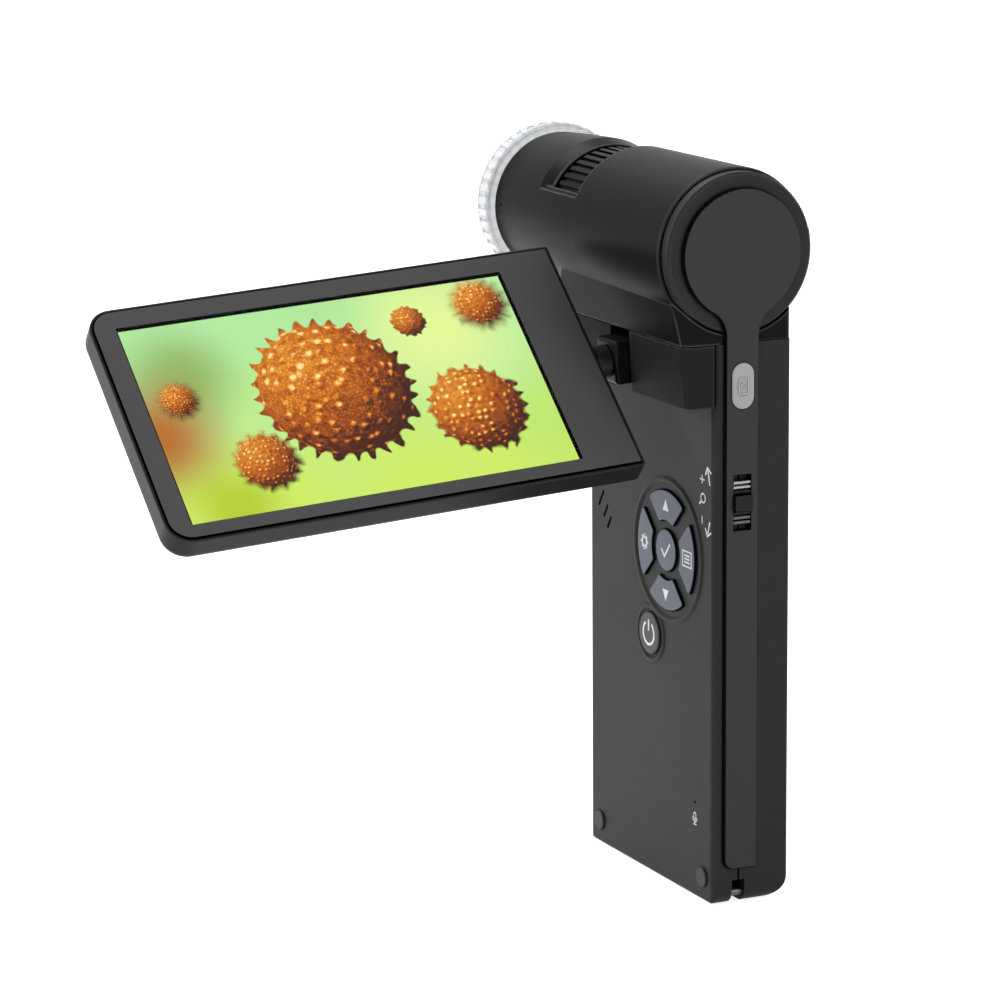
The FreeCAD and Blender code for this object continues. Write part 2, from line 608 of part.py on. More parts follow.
def make_bumper(side):
    """A soft round stop that meets the closed screen."""
    body = rod_y(BUMPER_RADIUS, FRONT_Y - BUMPER_PROUD, FRONT_Y + BUMPER_POCKET,
                 side * BUMPER_X, BUMPER_Z)
    rim_edges = [edge for edge in body.Edges if edge.BoundBox.YMax < FRONT_Y - BUMPER_PROUD + 0.01]
    return body.makeFillet(0.4, rim_edges)


def make_strap_bar():
    """The steel pin across the strap notch."""
    return rod_y(BAR_RADIUS, SPLIT_Y - BAR_HALF_LENGTH, SPLIT_Y + BAR_HALF_LENGTH, BAR_X, BAR_Z)


def make_head_housing():
    """The barrel's tapering sleeve on its neck, with the bevelled finger window."""
    start = VEC(SLEEVE_END_X, SPLIT_Y, AXIS_Z)
    profile = [
        Part.makeLine(start, VEC(SLEEVE_END_X, SPLIT_Y, AXIS_Z + SLEEVE_RADIUS - 0.6)),
        Part.Arc(VEC(SLEEVE_END_X, SPLIT_Y, AXIS_Z + SLEEVE_RADIUS - 0.6),
                 VEC(SLEEVE_END_X - 0.18, SPLIT_Y, AXIS_Z + SLEEVE_RADIUS - 0.18),
                 VEC(SLEEVE_END_X - 0.6, SPLIT_Y, AXIS_Z + SLEEVE_RADIUS)).toShape(),
        Part.makeLine(VEC(SLEEVE_END_X - 0.6, SPLIT_Y, AXIS_Z + SLEEVE_RADIUS),
                      VEC(WINDOW_REAR_X, SPLIT_Y, AXIS_Z + SLEEVE_MID_RADIUS)),
        Part.Arc(VEC(WINDOW_REAR_X, SPLIT_Y, AXIS_Z + SLEEVE_MID_RADIUS),
                 VEC(NOSE_X + 22, SPLIT_Y, AXIS_Z + NOSE_MID_RADIUS),
                 VEC(NOSE_X + 0.6, SPLIT_Y, AXIS_Z + NOSE_RADIUS + 0.1)).toShape(),
        Part.Arc(VEC(NOSE_X + 0.6, SPLIT_Y, AXIS_Z + NOSE_RADIUS + 0.1),
                 VEC(NOSE_X + 0.15, SPLIT_Y, AXIS_Z + NOSE_RADIUS - 0.15),
                 VEC(NOSE_X, SPLIT_Y, AXIS_Z + NOSE_RADIUS - 0.6)).toShape(),
        Part.makeLine(VEC(NOSE_X, SPLIT_Y, AXIS_Z + NOSE_RADIUS - 0.6), VEC(NOSE_X, SPLIT_Y, AXIS_Z)),
        Part.makeLine(VEC(NOSE_X, SPLIT_Y, AXIS_Z), start),
    ]
    body = Part.Face(Part.Wire(profile)).revolve(BARREL_POINT, AXIS_X, 360)
    tangent_y = SPLIT_Y - math.sqrt(SLEEVE_MID_RADIUS ** 2 - (AXIS_Z - NECK_TANGENT_Z) ** 2)
    section = [(NECK_FRONT_Y, HANDLE_HEIGHT, 0), (REAR_Y, HANDLE_HEIGHT, 0), (REAR_Y, AXIS_Z - 15, 0),
               (SPLIT_Y, AXIS_Z, 0), (tangent_y, NECK_TANGENT_Z, 0)]
    neck = prism(section, -NECK_HALF_LENGTH, NECK_HALF_LENGTH, "x")
    plan = prism(rectangle(-NECK_HALF_LENGTH, NECK_HALF_LENGTH, tangent_y, REAR_Y,
                           NECK_FRONT_RADIUS, NECK_FRONT_RADIUS, REAR_EDGE_RADIUS, REAR_EDGE_RADIUS),
                 HANDLE_HEIGHT, AXIS_Z, "z")
    neck = neck.common(plan)
    above = rod_x(SLEEVE_BORE + 1, -60, 60, SPLIT_Y, AXIS_Z)
    body = body.fuse(neck.cut(above))
    body = body.cut(rod_x(DIAL_RADIUS + 0.35, SLEEVE_END_X, 60, SPLIT_Y, AXIS_Z))
    body = body.cut(rod_x(SLEEVE_BORE, BORE_STEP_X, 60, SPLIT_Y, AXIS_Z))
    body = body.cut(rod_x(NOSE_BORE, NOSE_X - 1, BORE_STEP_X + 1, SPLIT_Y, AXIS_Z))
    hollow = block(-NECK_HOLLOW_HALF, NECK_HOLLOW_HALF, NECK_FRONT_Y + 3.5, REAR_Y - 3,
                   HANDLE_HEIGHT - 1, AXIS_Z - 12)
    body = body.cut(hollow)
    stem_way = block(STRIP_BACK_X - 1.2, 60, SPLIT_Y - STRIP_WIDTH / 2 - SLIDING,
                     SPLIT_Y + STRIP_WIDTH / 2 + SLIDING, HANDLE_HEIGHT - 1, AXIS_Z - 12)
    body = body.cut(stem_way)
    scoop = turned([(WINDOW_FRONT_X, SLEEVE_RADIUS + 2), (WINDOW_FRONT_X, NOSE_MID_RADIUS + 0.2),
                    (WINDOW_FLOOR_X, SLEEVE_BORE), (WINDOW_REAR_X, SLEEVE_BORE),
                    (WINDOW_REAR_X, SLEEVE_RADIUS + 2)],
                   2 * WINDOW_HALF_ANGLE, -WINDOW_HALF_ANGLE)
    half = WINDOW_HALF_ANGLE - WINDOW_LIP_ANGLE
    through = turned([(WINDOW_FLOOR_X, SLEEVE_RADIUS + 2), (WINDOW_FLOOR_X, SLEEVE_BORE - 3),
                      (WINDOW_REAR_X, SLEEVE_BORE - 3), (WINDOW_REAR_X, SLEEVE_RADIUS + 2)],
                     2 * half, -half)
    lip_floor = SLEEVE_BORE + 0.9
    scoop = scoop.cut(turned([(WINDOW_FRONT_X - 1, 0), (WINDOW_FRONT_X - 1, lip_floor),
                              (WINDOW_REAR_X + 1, lip_floor), (WINDOW_REAR_X + 1, 0)],
                             2 * WINDOW_HALF_ANGLE + 4, -WINDOW_HALF_ANGLE - 2)
                      .cut(turned([(WINDOW_FRONT_X - 2, 0), (WINDOW_FRONT_X - 2, SLEEVE_RADIUS),
                                   (WINDOW_REAR_X + 2, SLEEVE_RADIUS), (WINDOW_REAR_X + 2, 0)],
                                  2 * half, -half)))
    body = body.cut(scoop).cut(through)
    for screw_x, angle in GRUB_SCREWS:
        body = body.cut(around_barrel(grub_hole(screw_x), angle))
    return body


def grub_hole(x):
    """The tapped hole of a small grub screw through the sleeve, at the top of the barrel."""
    return rod_z(GRUB_RADIUS, AXIS_Z + NOSE_BORE - 1, AXIS_Z + SLEEVE_RADIUS + 1.3, x, SPLIT_Y)


def make_grub_screws():
    """Two small screws that hold the lens tube in the sleeve."""
    rear = rod_z(GRUB_RADIUS - 0.03, AXIS_Z + SLEEVE_BORE + 0.1, AXIS_Z + SLEEVE_RADIUS - 0.8,
                 GRUB_SCREWS[0][0], SPLIT_Y)
    front = rod_z(GRUB_RADIUS - 0.03, AXIS_Z + NOSE_BORE + 0.1, AXIS_Z + NOSE_RADIUS - 0.1,
                  GRUB_SCREWS[1][0], SPLIT_Y)
    return Part.makeCompound([around_barrel(rear, GRUB_SCREWS[0][1]),
                              around_barrel(front, GRUB_SCREWS[1][1])])


def make_lens_tube():
    """The fixed inner tube: it carries the focus wheel outside and the lens carriage inside."""
    points = [
        (TUBE_FRONT_X, APERTURE_RADIUS), (TUBE_FRONT_X, NOSE_BORE - SEATING),
        (TUBE_FRONT_X + 2, NOSE_BORE - SEATING), (TUBE_FRONT_X + 2, TUBE_RADIUS),
        (WHEEL_FRONT_X - 2, TUBE_RADIUS), (WHEEL_FRONT_X - 2, NOSE_BORE - 0.3),
        (WHEEL_FRONT_X - 0.2, NOSE_BORE - 0.3), (WHEEL_FRONT_X - 0.2, TUBE_RADIUS),
        (WHEEL_REAR_X + 0.2, TUBE_RADIUS), (WHEEL_REAR_X + 0.2, SLEEVE_BORE - SEATING),
        (WHEEL_REAR_X + 2.2, SLEEVE_BORE - SEATING), (WHEEL_REAR_X + 2.2, TUBE_RADIUS),
        (TUBE_REAR_X, TUBE_RADIUS), (TUBE_REAR_X, TUBE_BORE),
        (TUBE_FRONT_X + 2, TUBE_BORE), (TUBE_FRONT_X + 2, APERTURE_RADIUS),
    ]
    return turned(points)


def make_focus_wheel():
    """The ribbed ring that a finger turns through the window."""
    body = turned([(WHEEL_FRONT_X, TUBE_RADIUS + RUNNING), (WHEEL_FRONT_X, WHEEL_RADIUS - 0.5),
                   (WHEEL_FRONT_X + 0.5, WHEEL_RADIUS), (WHEEL_REAR_X - 0.5, WHEEL_RADIUS),
                   (WHEEL_REAR_X, WHEEL_RADIUS - 0.5), (WHEEL_REAR_X, TUBE_RADIUS + RUNNING)])
    pitch = 360.0 / WHEEL_RIBS
    half = math.pi * WHEEL_RADIUS / WHEEL_RIBS / 2
    tool = block(WHEEL_FRONT_X - 1, WHEEL_REAR_X + 1, SPLIT_Y - half, SPLIT_Y + half,
                 AXIS_Z + WHEEL_RADIUS - WHEEL_RIB_DEPTH, AXIS_Z + WHEEL_RADIUS + 1)
    tools = [around_barrel(tool, pitch * i) for i in range(WHEEL_RIBS)]
    return body.cut(Part.makeCompound(tools))


def make_lens_carriage():
    """The lens holder that the focus wheel draws along the tube."""
    front = CARRIAGE_REAR_X - CARRIAGE_LENGTH
    outer = TUBE_BORE - RUNNING
    seat = LENS_RADIUS + SEATING
    return turned([(front, seat - 1.2), (front, outer), (CARRIAGE_REAR_X, outer),
                   (CARRIAGE_REAR_X, outer - 2), (CARRIAGE_REAR_X - 4, seat - 1.2),
                   (CARRIAGE_REAR_X - 6, seat - 1.2), (CARRIAGE_REAR_X - 6, seat),
                   (front + 1, seat), (front + 1, seat - 1.2)])


def make_objective_lens():
    """The glass lens, bulged on its front and rear in fine steps round a flat centre."""
    front = CARRIAGE_REAR_X - CARRIAGE_LENGTH + 1.1
    rear = CARRIAGE_REAR_X - 6.1
    flat = LENS_STEPS[0]
    sag = [(radius ** 2 - flat ** 2) / (2 * LENS_BOW) for radius in LENS_STEPS]
    face = [(front + drop, radius) for drop, radius in zip(sag, LENS_STEPS)]
    back = [(rear - drop, radius) for drop, radius in zip(sag, LENS_STEPS)]
    return turned([(front, 0)] + face + back[::-1] + [(rear, 0)])


def make_front_glass():
    """The small clear pane that closes the aperture in front of the lens."""
    return rod_x(APERTURE_RADIUS - SEATING, TUBE_FRONT_X + 0.2, TUBE_FRONT_X + 1.4, SPLIT_Y, AXIS_Z)


def make_light_board():
    """The ring board behind the cap that carries the light diodes."""
    return ring(APERTURE_RADIUS + 0.6, NOSE_BORE - 0.15, TUBE_FRONT_X - BOARD_THICKNESS, TUBE_FRONT_X)


def make_light_diodes():
    """Eight domed light diodes on a circle."""
    base_x = TUBE_FRONT_X - BOARD_THICKNESS
    tip = LED_RADIUS
    body = rod_x(LED_RADIUS, base_x - LED_HEIGHT + tip, base_x, SPLIT_Y, AXIS_Z + LED_CIRCLE_RADIUS)
    dome = Part.makeSphere(LED_RADIUS, VEC(base_x - LED_HEIGHT + tip, SPLIT_Y,
                                           AXIS_Z + LED_CIRCLE_RADIUS))
    led = body.fuse(dome.cut(block(base_x, base_x + 10, -40, 40, 0, 300)))
    return Part.makeCompound([around_barrel(led, 360.0 / LED_COUNT * i) for i in range(LED_COUNT)])


def make_sensor_board():
    """The round camera board with its image sensor, closing the tube's rear end."""
    board = rod_x(TUBE_RADIUS, TUBE_REAR_X, TUBE_REAR_X + BOARD_THICKNESS, SPLIT_Y, AXIS_Z)
    chip = block(TUBE_REAR_X - 1.4, TUBE_REAR_X, SPLIT_Y - 4, SPLIT_Y + 4, AXIS_Z - 4, AXIS_Z + 4)
    plug = block(TUBE_REAR_X + BOARD_THICKNESS, TUBE_REAR_X + BOARD_THICKNESS + 2.5,
                 SPLIT_Y - 6, SPLIT_Y + 6, AXIS_Z - 12, AXIS_Z - 8)
    return board.fuse(chip).fuse(plug)


def make_clear_cap():
    """The clear fluted cap that is pushed into the nose and spaces it from the specimen."""
    back = NOSE_X - 0.45
    front = back - CAP_LENGTH
    body = turned([(back, CAP_BORE), (back, CAP_RADIUS - 0.5), (back - 0.5, CAP_RADIUS),
                   (front + 1.2, CAP_RADIUS - 0.2), (front, CAP_RADIUS - 1.2),
                   (front, CAP_RADIUS - 0.4 - CAP_WALL), (back - 1.8, CAP_RADIUS - 0.2 - CAP_WALL),
                   (back - 1.8, CAP_BORE)])
    skirt = ring(CAP_BORE, NOSE_BORE - SEATING, back - 0.2, back + CAP_SKIRT_LENGTH)
    flute = rod_x(CAP_FLUTE_RADIUS, front - 1, back - 1.0, SPLIT_Y,
                  AXIS_Z + CAP_RADIUS + 0.45)
    flutes = [around_barrel(flute, 360.0 / CAP_FLUTES * i) for i in range(CAP_FLUTES)]
    return body.fuse(skirt).cut(Part.makeCompound(flutes))


def make_end_plate():
    """The plate that closes the sleeve and carries the dial on its hub."""
    plate = rod_x(SLEEVE_BORE - SEATING, SLEEVE_END_X - 3, SLEEVE_END_X, SPLIT_Y, AXIS_Z)
    hub = rod_x(DIAL_HUB_RADIUS, SLEEVE_END_X, STRIP_BACK_X, SPLIT_Y, AXIS_Z)
    return plate.fuse(hub)


def make_brightness_dial():
    """The thin dial behind the disc, with a short patch of ribs for the thumb."""
    back = SLEEVE_END_X + 0.15
    front = back + DIAL_THICKNESS
    bore = DIAL_HUB_RADIUS + RUNNING
    body = turned([(back, bore), (back, DIAL_RADIUS - 0.3), (back + 0.3, DIAL_RADIUS),
                   (front - 0.7, DIAL_RADIUS), (front, DIAL_RADIUS - 0.7), (front, bore)])
    groove = rod_x(0.42, back - 1, front + 1, SPLIT_Y, AXIS_Z + DIAL_RADIUS + 0.12)
    grooves = [around_barrel(groove, -(DIAL_RIB_START + DIAL_RIB_PITCH * i))
               for i in range(DIAL_RIB_COUNT)]
    return body.cut(Part.makeCompound(grooves))


def make_side_strip():
    """The one-piece trim: a disc over the barrel's end and a stem down the narrow face."""
    disc = rod_x(STRIP_DISC_RADIUS, STRIP_BACK_X, STRIP_FACE_X, SPLIT_Y, AXIS_Z)
    stem = strip_outline_cut(CHANNEL_X, STRIP_FACE_X, 0.0)
    half = STRIP_WIDTH / 2
    stem_top = block(STRIP_BACK_X, STRIP_FACE_X, SPLIT_Y - half, SPLIT_Y + half,
                     HANDLE_HEIGHT - 0.01, AXIS_Z - STRIP_DISC_RADIUS + 4)
    body = disc.fuse(stem).fuse(stem_top)
    blend_y = half + STRIP_BLEND_RADIUS
    blend_drop = math.sqrt((STRIP_DISC_RADIUS + STRIP_BLEND_RADIUS) ** 2 - blend_y ** 2)
    contact = STRIP_DISC_RADIUS / (STRIP_DISC_RADIUS + STRIP_BLEND_RADIUS)
    web = [(SPLIT_Y - blend_y * contact, AXIS_Z - blend_drop * contact, 0),
           (SPLIT_Y - half, AXIS_Z - blend_drop, 0), (SPLIT_Y + half, AXIS_Z - blend_drop, 0),
           (SPLIT_Y + blend_y * contact, AXIS_Z - blend_drop * contact, 0)]
    web = prism(web, STRIP_BACK_X, STRIP_FACE_X, "x")
    for side in (-1, 1):
        web = web.cut(rod_x(STRIP_BLEND_RADIUS, STRIP_BACK_X - 1, STRIP_FACE_X + 1,
                            SPLIT_Y + side * blend_y, AXIS_Z - blend_drop))
    body = body.fuse(web).removeSplitter()
    body = body.cut(stadium(SHUTTER_WIDTH, SHUTTER_LENGTH, CHANNEL_X - 1, STRIP_FACE_X + 1,
                            SHUTTER_Z, SLIDING))
    slot_half = ZOOM_SLOT_WIDTH / 2
    body = body.cut(block(CHANNEL_X - 1, STRIP_FACE_X + 1, SPLIT_Y - slot_half, SPLIT_Y + slot_half,
                          ZOOM_Z - ZOOM_SLOT_LENGTH / 2, ZOOM_Z + ZOOM_SLOT_LENGTH / 2))
    rim_edges = [edge for edge in body.Edges
                 if edge.BoundBox.XMin > STRIP_FACE_X - 0.01
                 and (edge.BoundBox.ZMin < STRIP_BOTTOM_Z + 1
                      or edge.BoundBox.YMin < SPLIT_Y - half + 0.1
                      or edge.BoundBox.YMax > SPLIT_Y + half - 0.1)]
    return body.makeFillet(0.35, rim_edges)


def make_shutter_button():
    """The light grey picture button: a domed stadium with a flange behind the wall."""
    top = STRIP_FACE_X + SHUTTER_PROUD
    body = stadium(SHUTTER_WIDTH, SHUTTER_LENGTH, INNER_SIDE_X - 0.4, top, SHUTTER_Z)
    face_edges = [edge for edge in body.Edges if edge.BoundBox.XMin > top - 0.01]
    body = body.makeFillet(0.45, face_edges)
    flange = stadium(SHUTTER_WIDTH, SHUTTER_LENGTH, INNER_SIDE_X - 1.0, INNER_SIDE_X - 0.1,
                     SHUTTER_Z, 0.9)
    return body.fuse(flange)


def make_shutter_switch():
    """The click switch behind the picture button."""
    plunger_top = INNER_SIDE_X - 1.0 - SHUTTER_TRAVEL - 0.1
    case_top = plunger_top - 0.6
    case = block(SIDE_BOARD_X + BOARD_THICKNESS, case_top, SPLIT_Y - 3, SPLIT_Y + 3,
                 SHUTTER_Z - 3, SHUTTER_Z + 3)
    return case.fuse(rod_x(1.5, case_top, plunger_top, SPLIT_Y, SHUTTER_Z))


def make_zoom_slider():
    """The ribbed slider with a raised thumb pad, and its neck through the wall."""
    half_width = ZOOM_SLOT_WIDTH / 2 - SLIDING
    half_length = ZOOM_KNOB_LENGTH / 2
    base = CHANNEL_X + 0.1
    deck = STRIP_FACE_X - 0.9
    body = block(base, deck, SPLIT_Y - half_width, SPLIT_Y + half_width,
                 ZOOM_Z - half_length, ZOOM_Z + half_length)
    rib_pitch = 1.3
    for side in (-1, 1):
        for i in range(3):
            centre = ZOOM_Z + side * (half_length - 0.5 - rib_pitch * i)
            body = body.fuse(block(deck - 0.1, deck + 0.7, SPLIT_Y - half_width,
                                   SPLIT_Y + half_width, centre - 0.35, centre + 0.35))
    thumb = prism(rectangle(SPLIT_Y - half_width, SPLIT_Y + half_width, ZOOM_Z - 2.1, ZOOM_Z + 2.1,
                            0.4, 0.4, 0.4, 0.4), deck - 0.1, STRIP_FACE_X + 1.3, "x")
    neck = block(INNER_SIDE_X - 0.5, base + 0.1, SPLIT_Y - 1.2 + SLIDING, SPLIT_Y + 1.2 - SLIDING,
                 ZOOM_Z - 2.5, ZOOM_Z + 2.5)
    return body.fuse(thumb).fuse(neck)


def make_zoom_switch():
    """The self-centring switch that the zoom slider moves."""
    return block(SIDE_BOARD_X + BOARD_THICKNESS, INNER_SIDE_X - 0.8, SPLIT_Y - 2.6, SPLIT_Y + 2.6,
                 ZOOM_Z - 6, ZOOM_Z + 6)


def make_side_board():
    """The small board on edge that carries the two side switches."""
    return block(SIDE_BOARD_X, SIDE_BOARD_X + BOARD_THICKNESS, INNER_FRONT_Y + 1.2,
                 SIDE_BOARD_REAR_Y, *SIDE_BOARD_Z)


def make_pad_key(turn):
    """An arc-shaped key with a softened top edge and a flange behind the front wall."""
    top = FRONT_Y - KEY_PROUD
    key = sector(top, INNER_FRONT_Y + 0.3, turn)
    face_edges = [edge for edge in key.Edges if edge.BoundBox.YMax < top + 0.01]
    key = key.makeFillet(0.35, face_edges)
    flange = sector(KEY_SEAT_Y, KEY_SEAT_Y + KEY_FLANGE, turn, KEY_FLANGE_RISE)
    return key.fuse(flange)


def make_round_key(x, z, radius):
    """A round key with a softened top edge and a flange behind the front wall."""
    top = FRONT_Y - KEY_PROUD
    key = rod_y(radius, top, INNER_FRONT_Y + 0.3, x, z)
    face_edges = [edge for edge in key.Edges if edge.BoundBox.YMax < top + 0.01]
    key = key.makeFillet(0.4, face_edges)
    return key.fuse(rod_y(radius + KEY_FLANGE_RISE, KEY_SEAT_Y, KEY_SEAT_Y + KEY_FLANGE, x, z))


def make_key_board():
    """The board under the keys, with a dome contact under each key."""
    board = block(*KEY_BOARD_X, KEY_BOARD_Y, KEY_BOARD_Y + BOARD_THICKNESS, *KEY_BOARD_Z)
    places = [(PAD_X, PAD_Z), (POWER_X, POWER_Z)]
    for _, turn in PAD_KEYS:
        angle = math.radians(turn)
        reach = (PAD_OUTER_RADIUS + PAD_INNER_RADIUS) / 2
        places.append((PAD_X + reach * math.sin(angle), PAD_Z + reach * math.cos(angle)))
    for x, z in places:
        board = board.fuse(rod_y(DOME_RADIUS, KEY_BOARD_Y - DOME_HEIGHT, KEY_BOARD_Y, x, z))
    return board


def make_main_board():
    """The main circuit board with its processor and screen plug."""
    rear = MAIN_BOARD_Y + BOARD_THICKNESS
    board = block(*MAIN_BOARD_X, MAIN_BOARD_Y, rear, *MAIN_BOARD_Z)
    middle = sum(MAIN_BOARD_X) / 2
    top = MAIN_BOARD_Z[1]
    chip = block(middle - 8, middle + 8, rear, rear + 1.6, top - 28, top - 12)
    plug = block(middle - 6, middle + 6, MAIN_BOARD_Y - 1.8, MAIN_BOARD_Y, top - 7, top - 3)
    return board.fuse(chip).fuse(plug)


def make_battery():
    """The flat rechargeable cell, lying on the rear casing."""
    outline = rectangle(*BATTERY_X, *BATTERY_Z, 2, 2, 2, 2)
    return prism(outline, BATTERY_FRONT_Y, INNER_REAR_Y - SEATING, "y")


def make_speaker():
    """The small round loudspeaker behind the slots."""
    x, z = SPEAKER_X, SPEAKER_Z
    rim_part = rod_y(SPEAKER_RADIUS, INNER_FRONT_Y + SEATING, INNER_FRONT_Y + 1.6, x, z)
    magnet = rod_y(SPEAKER_MAGNET_RADIUS, INNER_FRONT_Y + 1.6, INNER_FRONT_Y + 4.2, x, z)
    return rim_part.fuse(magnet)


def make_microphone():
    """The small round microphone behind its hole."""
    return rod_y(MIC_RADIUS, INNER_FRONT_Y + SEATING, INNER_FRONT_Y + 1.5, *MIC_CENTRE)


def make_hinge_housing():
    """The block on the front casing that holds the fold pin on each side of the knuckle."""
    half = NECK_HALF_LENGTH
    outline = rectangle(-half, half, HINGE_FRONT_Y, FRONT_Y - 0.05, HINGE_CORNER_RADIUS,
                        HINGE_CORNER_RADIUS, 0.2, 0.2)
    body = prism(outline, HINGE_BOTTOM_Z, HANDLE_HEIGHT - 0.3, "z")
    slope = prism([(HINGE_FRONT_Y - 1, HINGE_BOTTOM_Z - 1, 0),
                   (HINGE_FRONT_Y + HINGE_DRAFT, HINGE_BOTTOM_Z - 1, 0),
                   (HINGE_FRONT_Y, HANDLE_HEIGHT - 4, 0), (HINGE_FRONT_Y - 1, HANDLE_HEIGHT - 4, 0)],
                  -60, 60, "x")
    body = body.cut(slope)
    half_gap = KNUCKLE_WIDTH / 2 + 0.25
    recess = block(-half_gap, half_gap, HINGE_FRONT_Y - 2, FRONT_Y - 0.6, HINGE_BOTTOM_Z - 1,
                   HANDLE_HEIGHT + 1)
    body = body.cut(recess)
    body = body.cut(rod_x(PIN_RADIUS + SEATING / 2, -PIN_LENGTH / 2, PIN_LENGTH / 2, FOLD_Y, FOLD_Z))
    for side in (-1, 1):
        body = body.fuse(rod_y(HINGE_PEG_RADIUS, FRONT_Y - 0.5, INNER_FRONT_Y, side * HINGE_PEG_X,
                               HINGE_PEG_Z))
    return body


def make_fold_pin():
    """The steel pin that the knuckle folds on."""
    return rod_x(PIN_RADIUS, -PIN_LENGTH / 2 + 0.2, PIN_LENGTH / 2 - 0.2, FOLD_Y, FOLD_Z)


def screen_matrix(turn):
    """From the hinge's own frame (out along the screen, across it, out of its face) to the part's."""
    droop = math.radians(SCREEN_DROOP)
    twist = math.radians(turn)
    out = VEC(0, -math.cos(droop), -math.sin(droop))
    level = VEC(0, -math.sin(droop), math.cos(droop))
    face = level * math.cos(twist) + AXIS_X * math.sin(twist)
    across = AXIS_X * math.cos(twist) - level * math.sin(twist)
    return FreeCAD.Matrix(out.x, across.x, face.x, 0, out.y, across.y, face.y, FOLD_Y,
                          out.z, across.z, face.z, FOLD_Z, 0, 0, 0, 1)


def placed(shape, turn):
    """A piece of the hinge or screen, moved from its own frame to its place."""
    copy = shape.copy()
    copy.Placement = FreeCAD.Placement(screen_matrix(turn)).multiply(copy.Placement)
    return copy


def make_hinge_knuckle():
    """The folding knuckle: a round eye on the pin and a squared nose that holds the shaft."""
    half = KNUCKLE_WIDTH / 2
    eye = Part.makeCylinder(KNUCKLE_RADIUS, KNUCKLE_WIDTH, VEC(0, -half, 0), AXIS_Y)
    nose = block(0, KNUCKLE_NOSE, -half, half, -KNUCKLE_RADIUS, KNUCKLE_RADIUS)
    front = [edge for edge in nose.Edges if edge.BoundBox.XMin > KNUCKLE_NOSE - 0.01]
    body = eye.fuse(nose.makeFillet(1.0, front)).removeSplitter()
    body = body.cut(Part.makeCylinder(PIN_RADIUS + RUNNING, KNUCKLE_WIDTH + 2, VEC(0, -half - 1, 0),
                                      AXIS_Y))
    body = body.cut(Part.makeCylinder(SHAFT_RADIUS + RUNNING, KNUCKLE_NOSE, VEC(2.2, 0, 0), AXIS_X))
    return placed(body, 0.0)


def make_swivel_shaft():
    """The steel shaft that the screen turns on, with its friction collar."""
    inner = 2.4
    outer_end = SCREEN_START + SCREEN_WALL + 7.0
    body = Part.makeCylinder(SHAFT_RADIUS, outer_end - inner, VEC(inner, 0, 0), AXIS_X)
    collar = Part.makeCylinder(SHAFT_COLLAR_RADIUS, SCREEN_START - KNUCKLE_NOSE - 0.6,
                               VEC(KNUCKLE_NOSE + 0.3, 0, 0), AXIS_X)
    return placed(body.fuse(collar), SCREEN_TURN)


def screen_outline(inset):
    """The screen's outline: sharp corners at the hinge, round ones at the free end."""
    sharp = max(SCREEN_HINGE_CORNER - inset, 0.3)
    soft = max(SCREEN_FREE_CORNER - inset, 0.3)
    return rectangle(SCREEN_START + inset, SCREEN_END - inset, -HALF_SCREEN + inset,
                     HALF_SCREEN - inset, sharp, soft, soft, sharp)


def make_screen_cover():
    """The screen's rear tray, rounded at the back, with the bush for the swivel shaft."""
    body = prism(screen_outline(0.0), -FACE_N, RIM_N, "z")
    back = [edge for edge in body.Edges if edge.BoundBox.ZMax < -FACE_N + 0.01]
    body = body.makeFillet(SCREEN_BACK_RADIUS, back)
    hollow = prism(screen_outline(SCREEN_WALL), -FACE_N + SCREEN_WALL, FACE_N, "z")
    seat = prism(screen_outline(BEZEL_INSET - SEATING), FACE_N - BEZEL_THICKNESS, FACE_N + 1, "z")
    body = body.cut(hollow).cut(seat)
    bush_end = SCREEN_START + 8
    bush = block(SCREEN_START + 0.5, bush_end, -5.5, 5.5, -FACE_N + 1, FACE_N - BEZEL_THICKNESS - 0.05)
    body = body.fuse(bush)
    for x, y in COVER_POSTS:
        post = Part.makeCylinder(2.0, SCREEN_THICKNESS - BEZEL_THICKNESS - 1.05,
                                 VEC(x, y, -FACE_N + 1), AXIS_UP)
        body = body.fuse(post)
    return placed(body.cut(shaft_way()), SCREEN_TURN)


def shaft_way():
    """The bore that the swivel shaft runs in."""
    return Part.makeCylinder(SHAFT_RADIUS + RUNNING, SCREEN_WALL + SHAFT_REACH,
                             VEC(SCREEN_START - 1, 0, 0), AXIS_X)


def make_screen_bezel():
    """The flat front frame round the display."""
    body = prism(screen_outline(BEZEL_INSET), FACE_N - BEZEL_THICKNESS, FACE_N, "z")
    face_edges = [edge for edge in body.Edges if edge.BoundBox.ZMin > FACE_N - 0.01]
    body = body.makeFillet(0.3, face_edges)
    opening = prism(rectangle(DISPLAY_X0 - DISPLAY_MARGIN, DISPLAY_X1 + DISPLAY_MARGIN,
                              DISPLAY_Y0 - DISPLAY_MARGIN, DISPLAY_Y1 + DISPLAY_MARGIN,
                              0.6, 0.6, 0.6, 0.6),
                    FACE_N - BEZEL_THICKNESS - 1, FACE_N + 1, "z")
    body = body.cut(opening)
    clear_shaft = Part.makeCylinder(SHAFT_RADIUS + 0.2, SCREEN_WALL + SHAFT_REACH,
                                    VEC(SCREEN_START - 1, 0, 0), AXIS_X)
    return placed(body.cut(clear_shaft), SCREEN_TURN)


def make_screen_window():
    """The clear pane in the bezel's opening."""
    gap = DISPLAY_MARGIN - SEATING
    top = FACE_N - WINDOW_RECESS
    body = prism(rectangle(DISPLAY_X0 - gap, DISPLAY_X1 + gap, DISPLAY_Y0 - gap, DISPLAY_Y1 + gap,
                           0.6, 0.6, 0.6, 0.6), top - WINDOW_THICKNESS, top, "z")
    return placed(body, SCREEN_TURN)


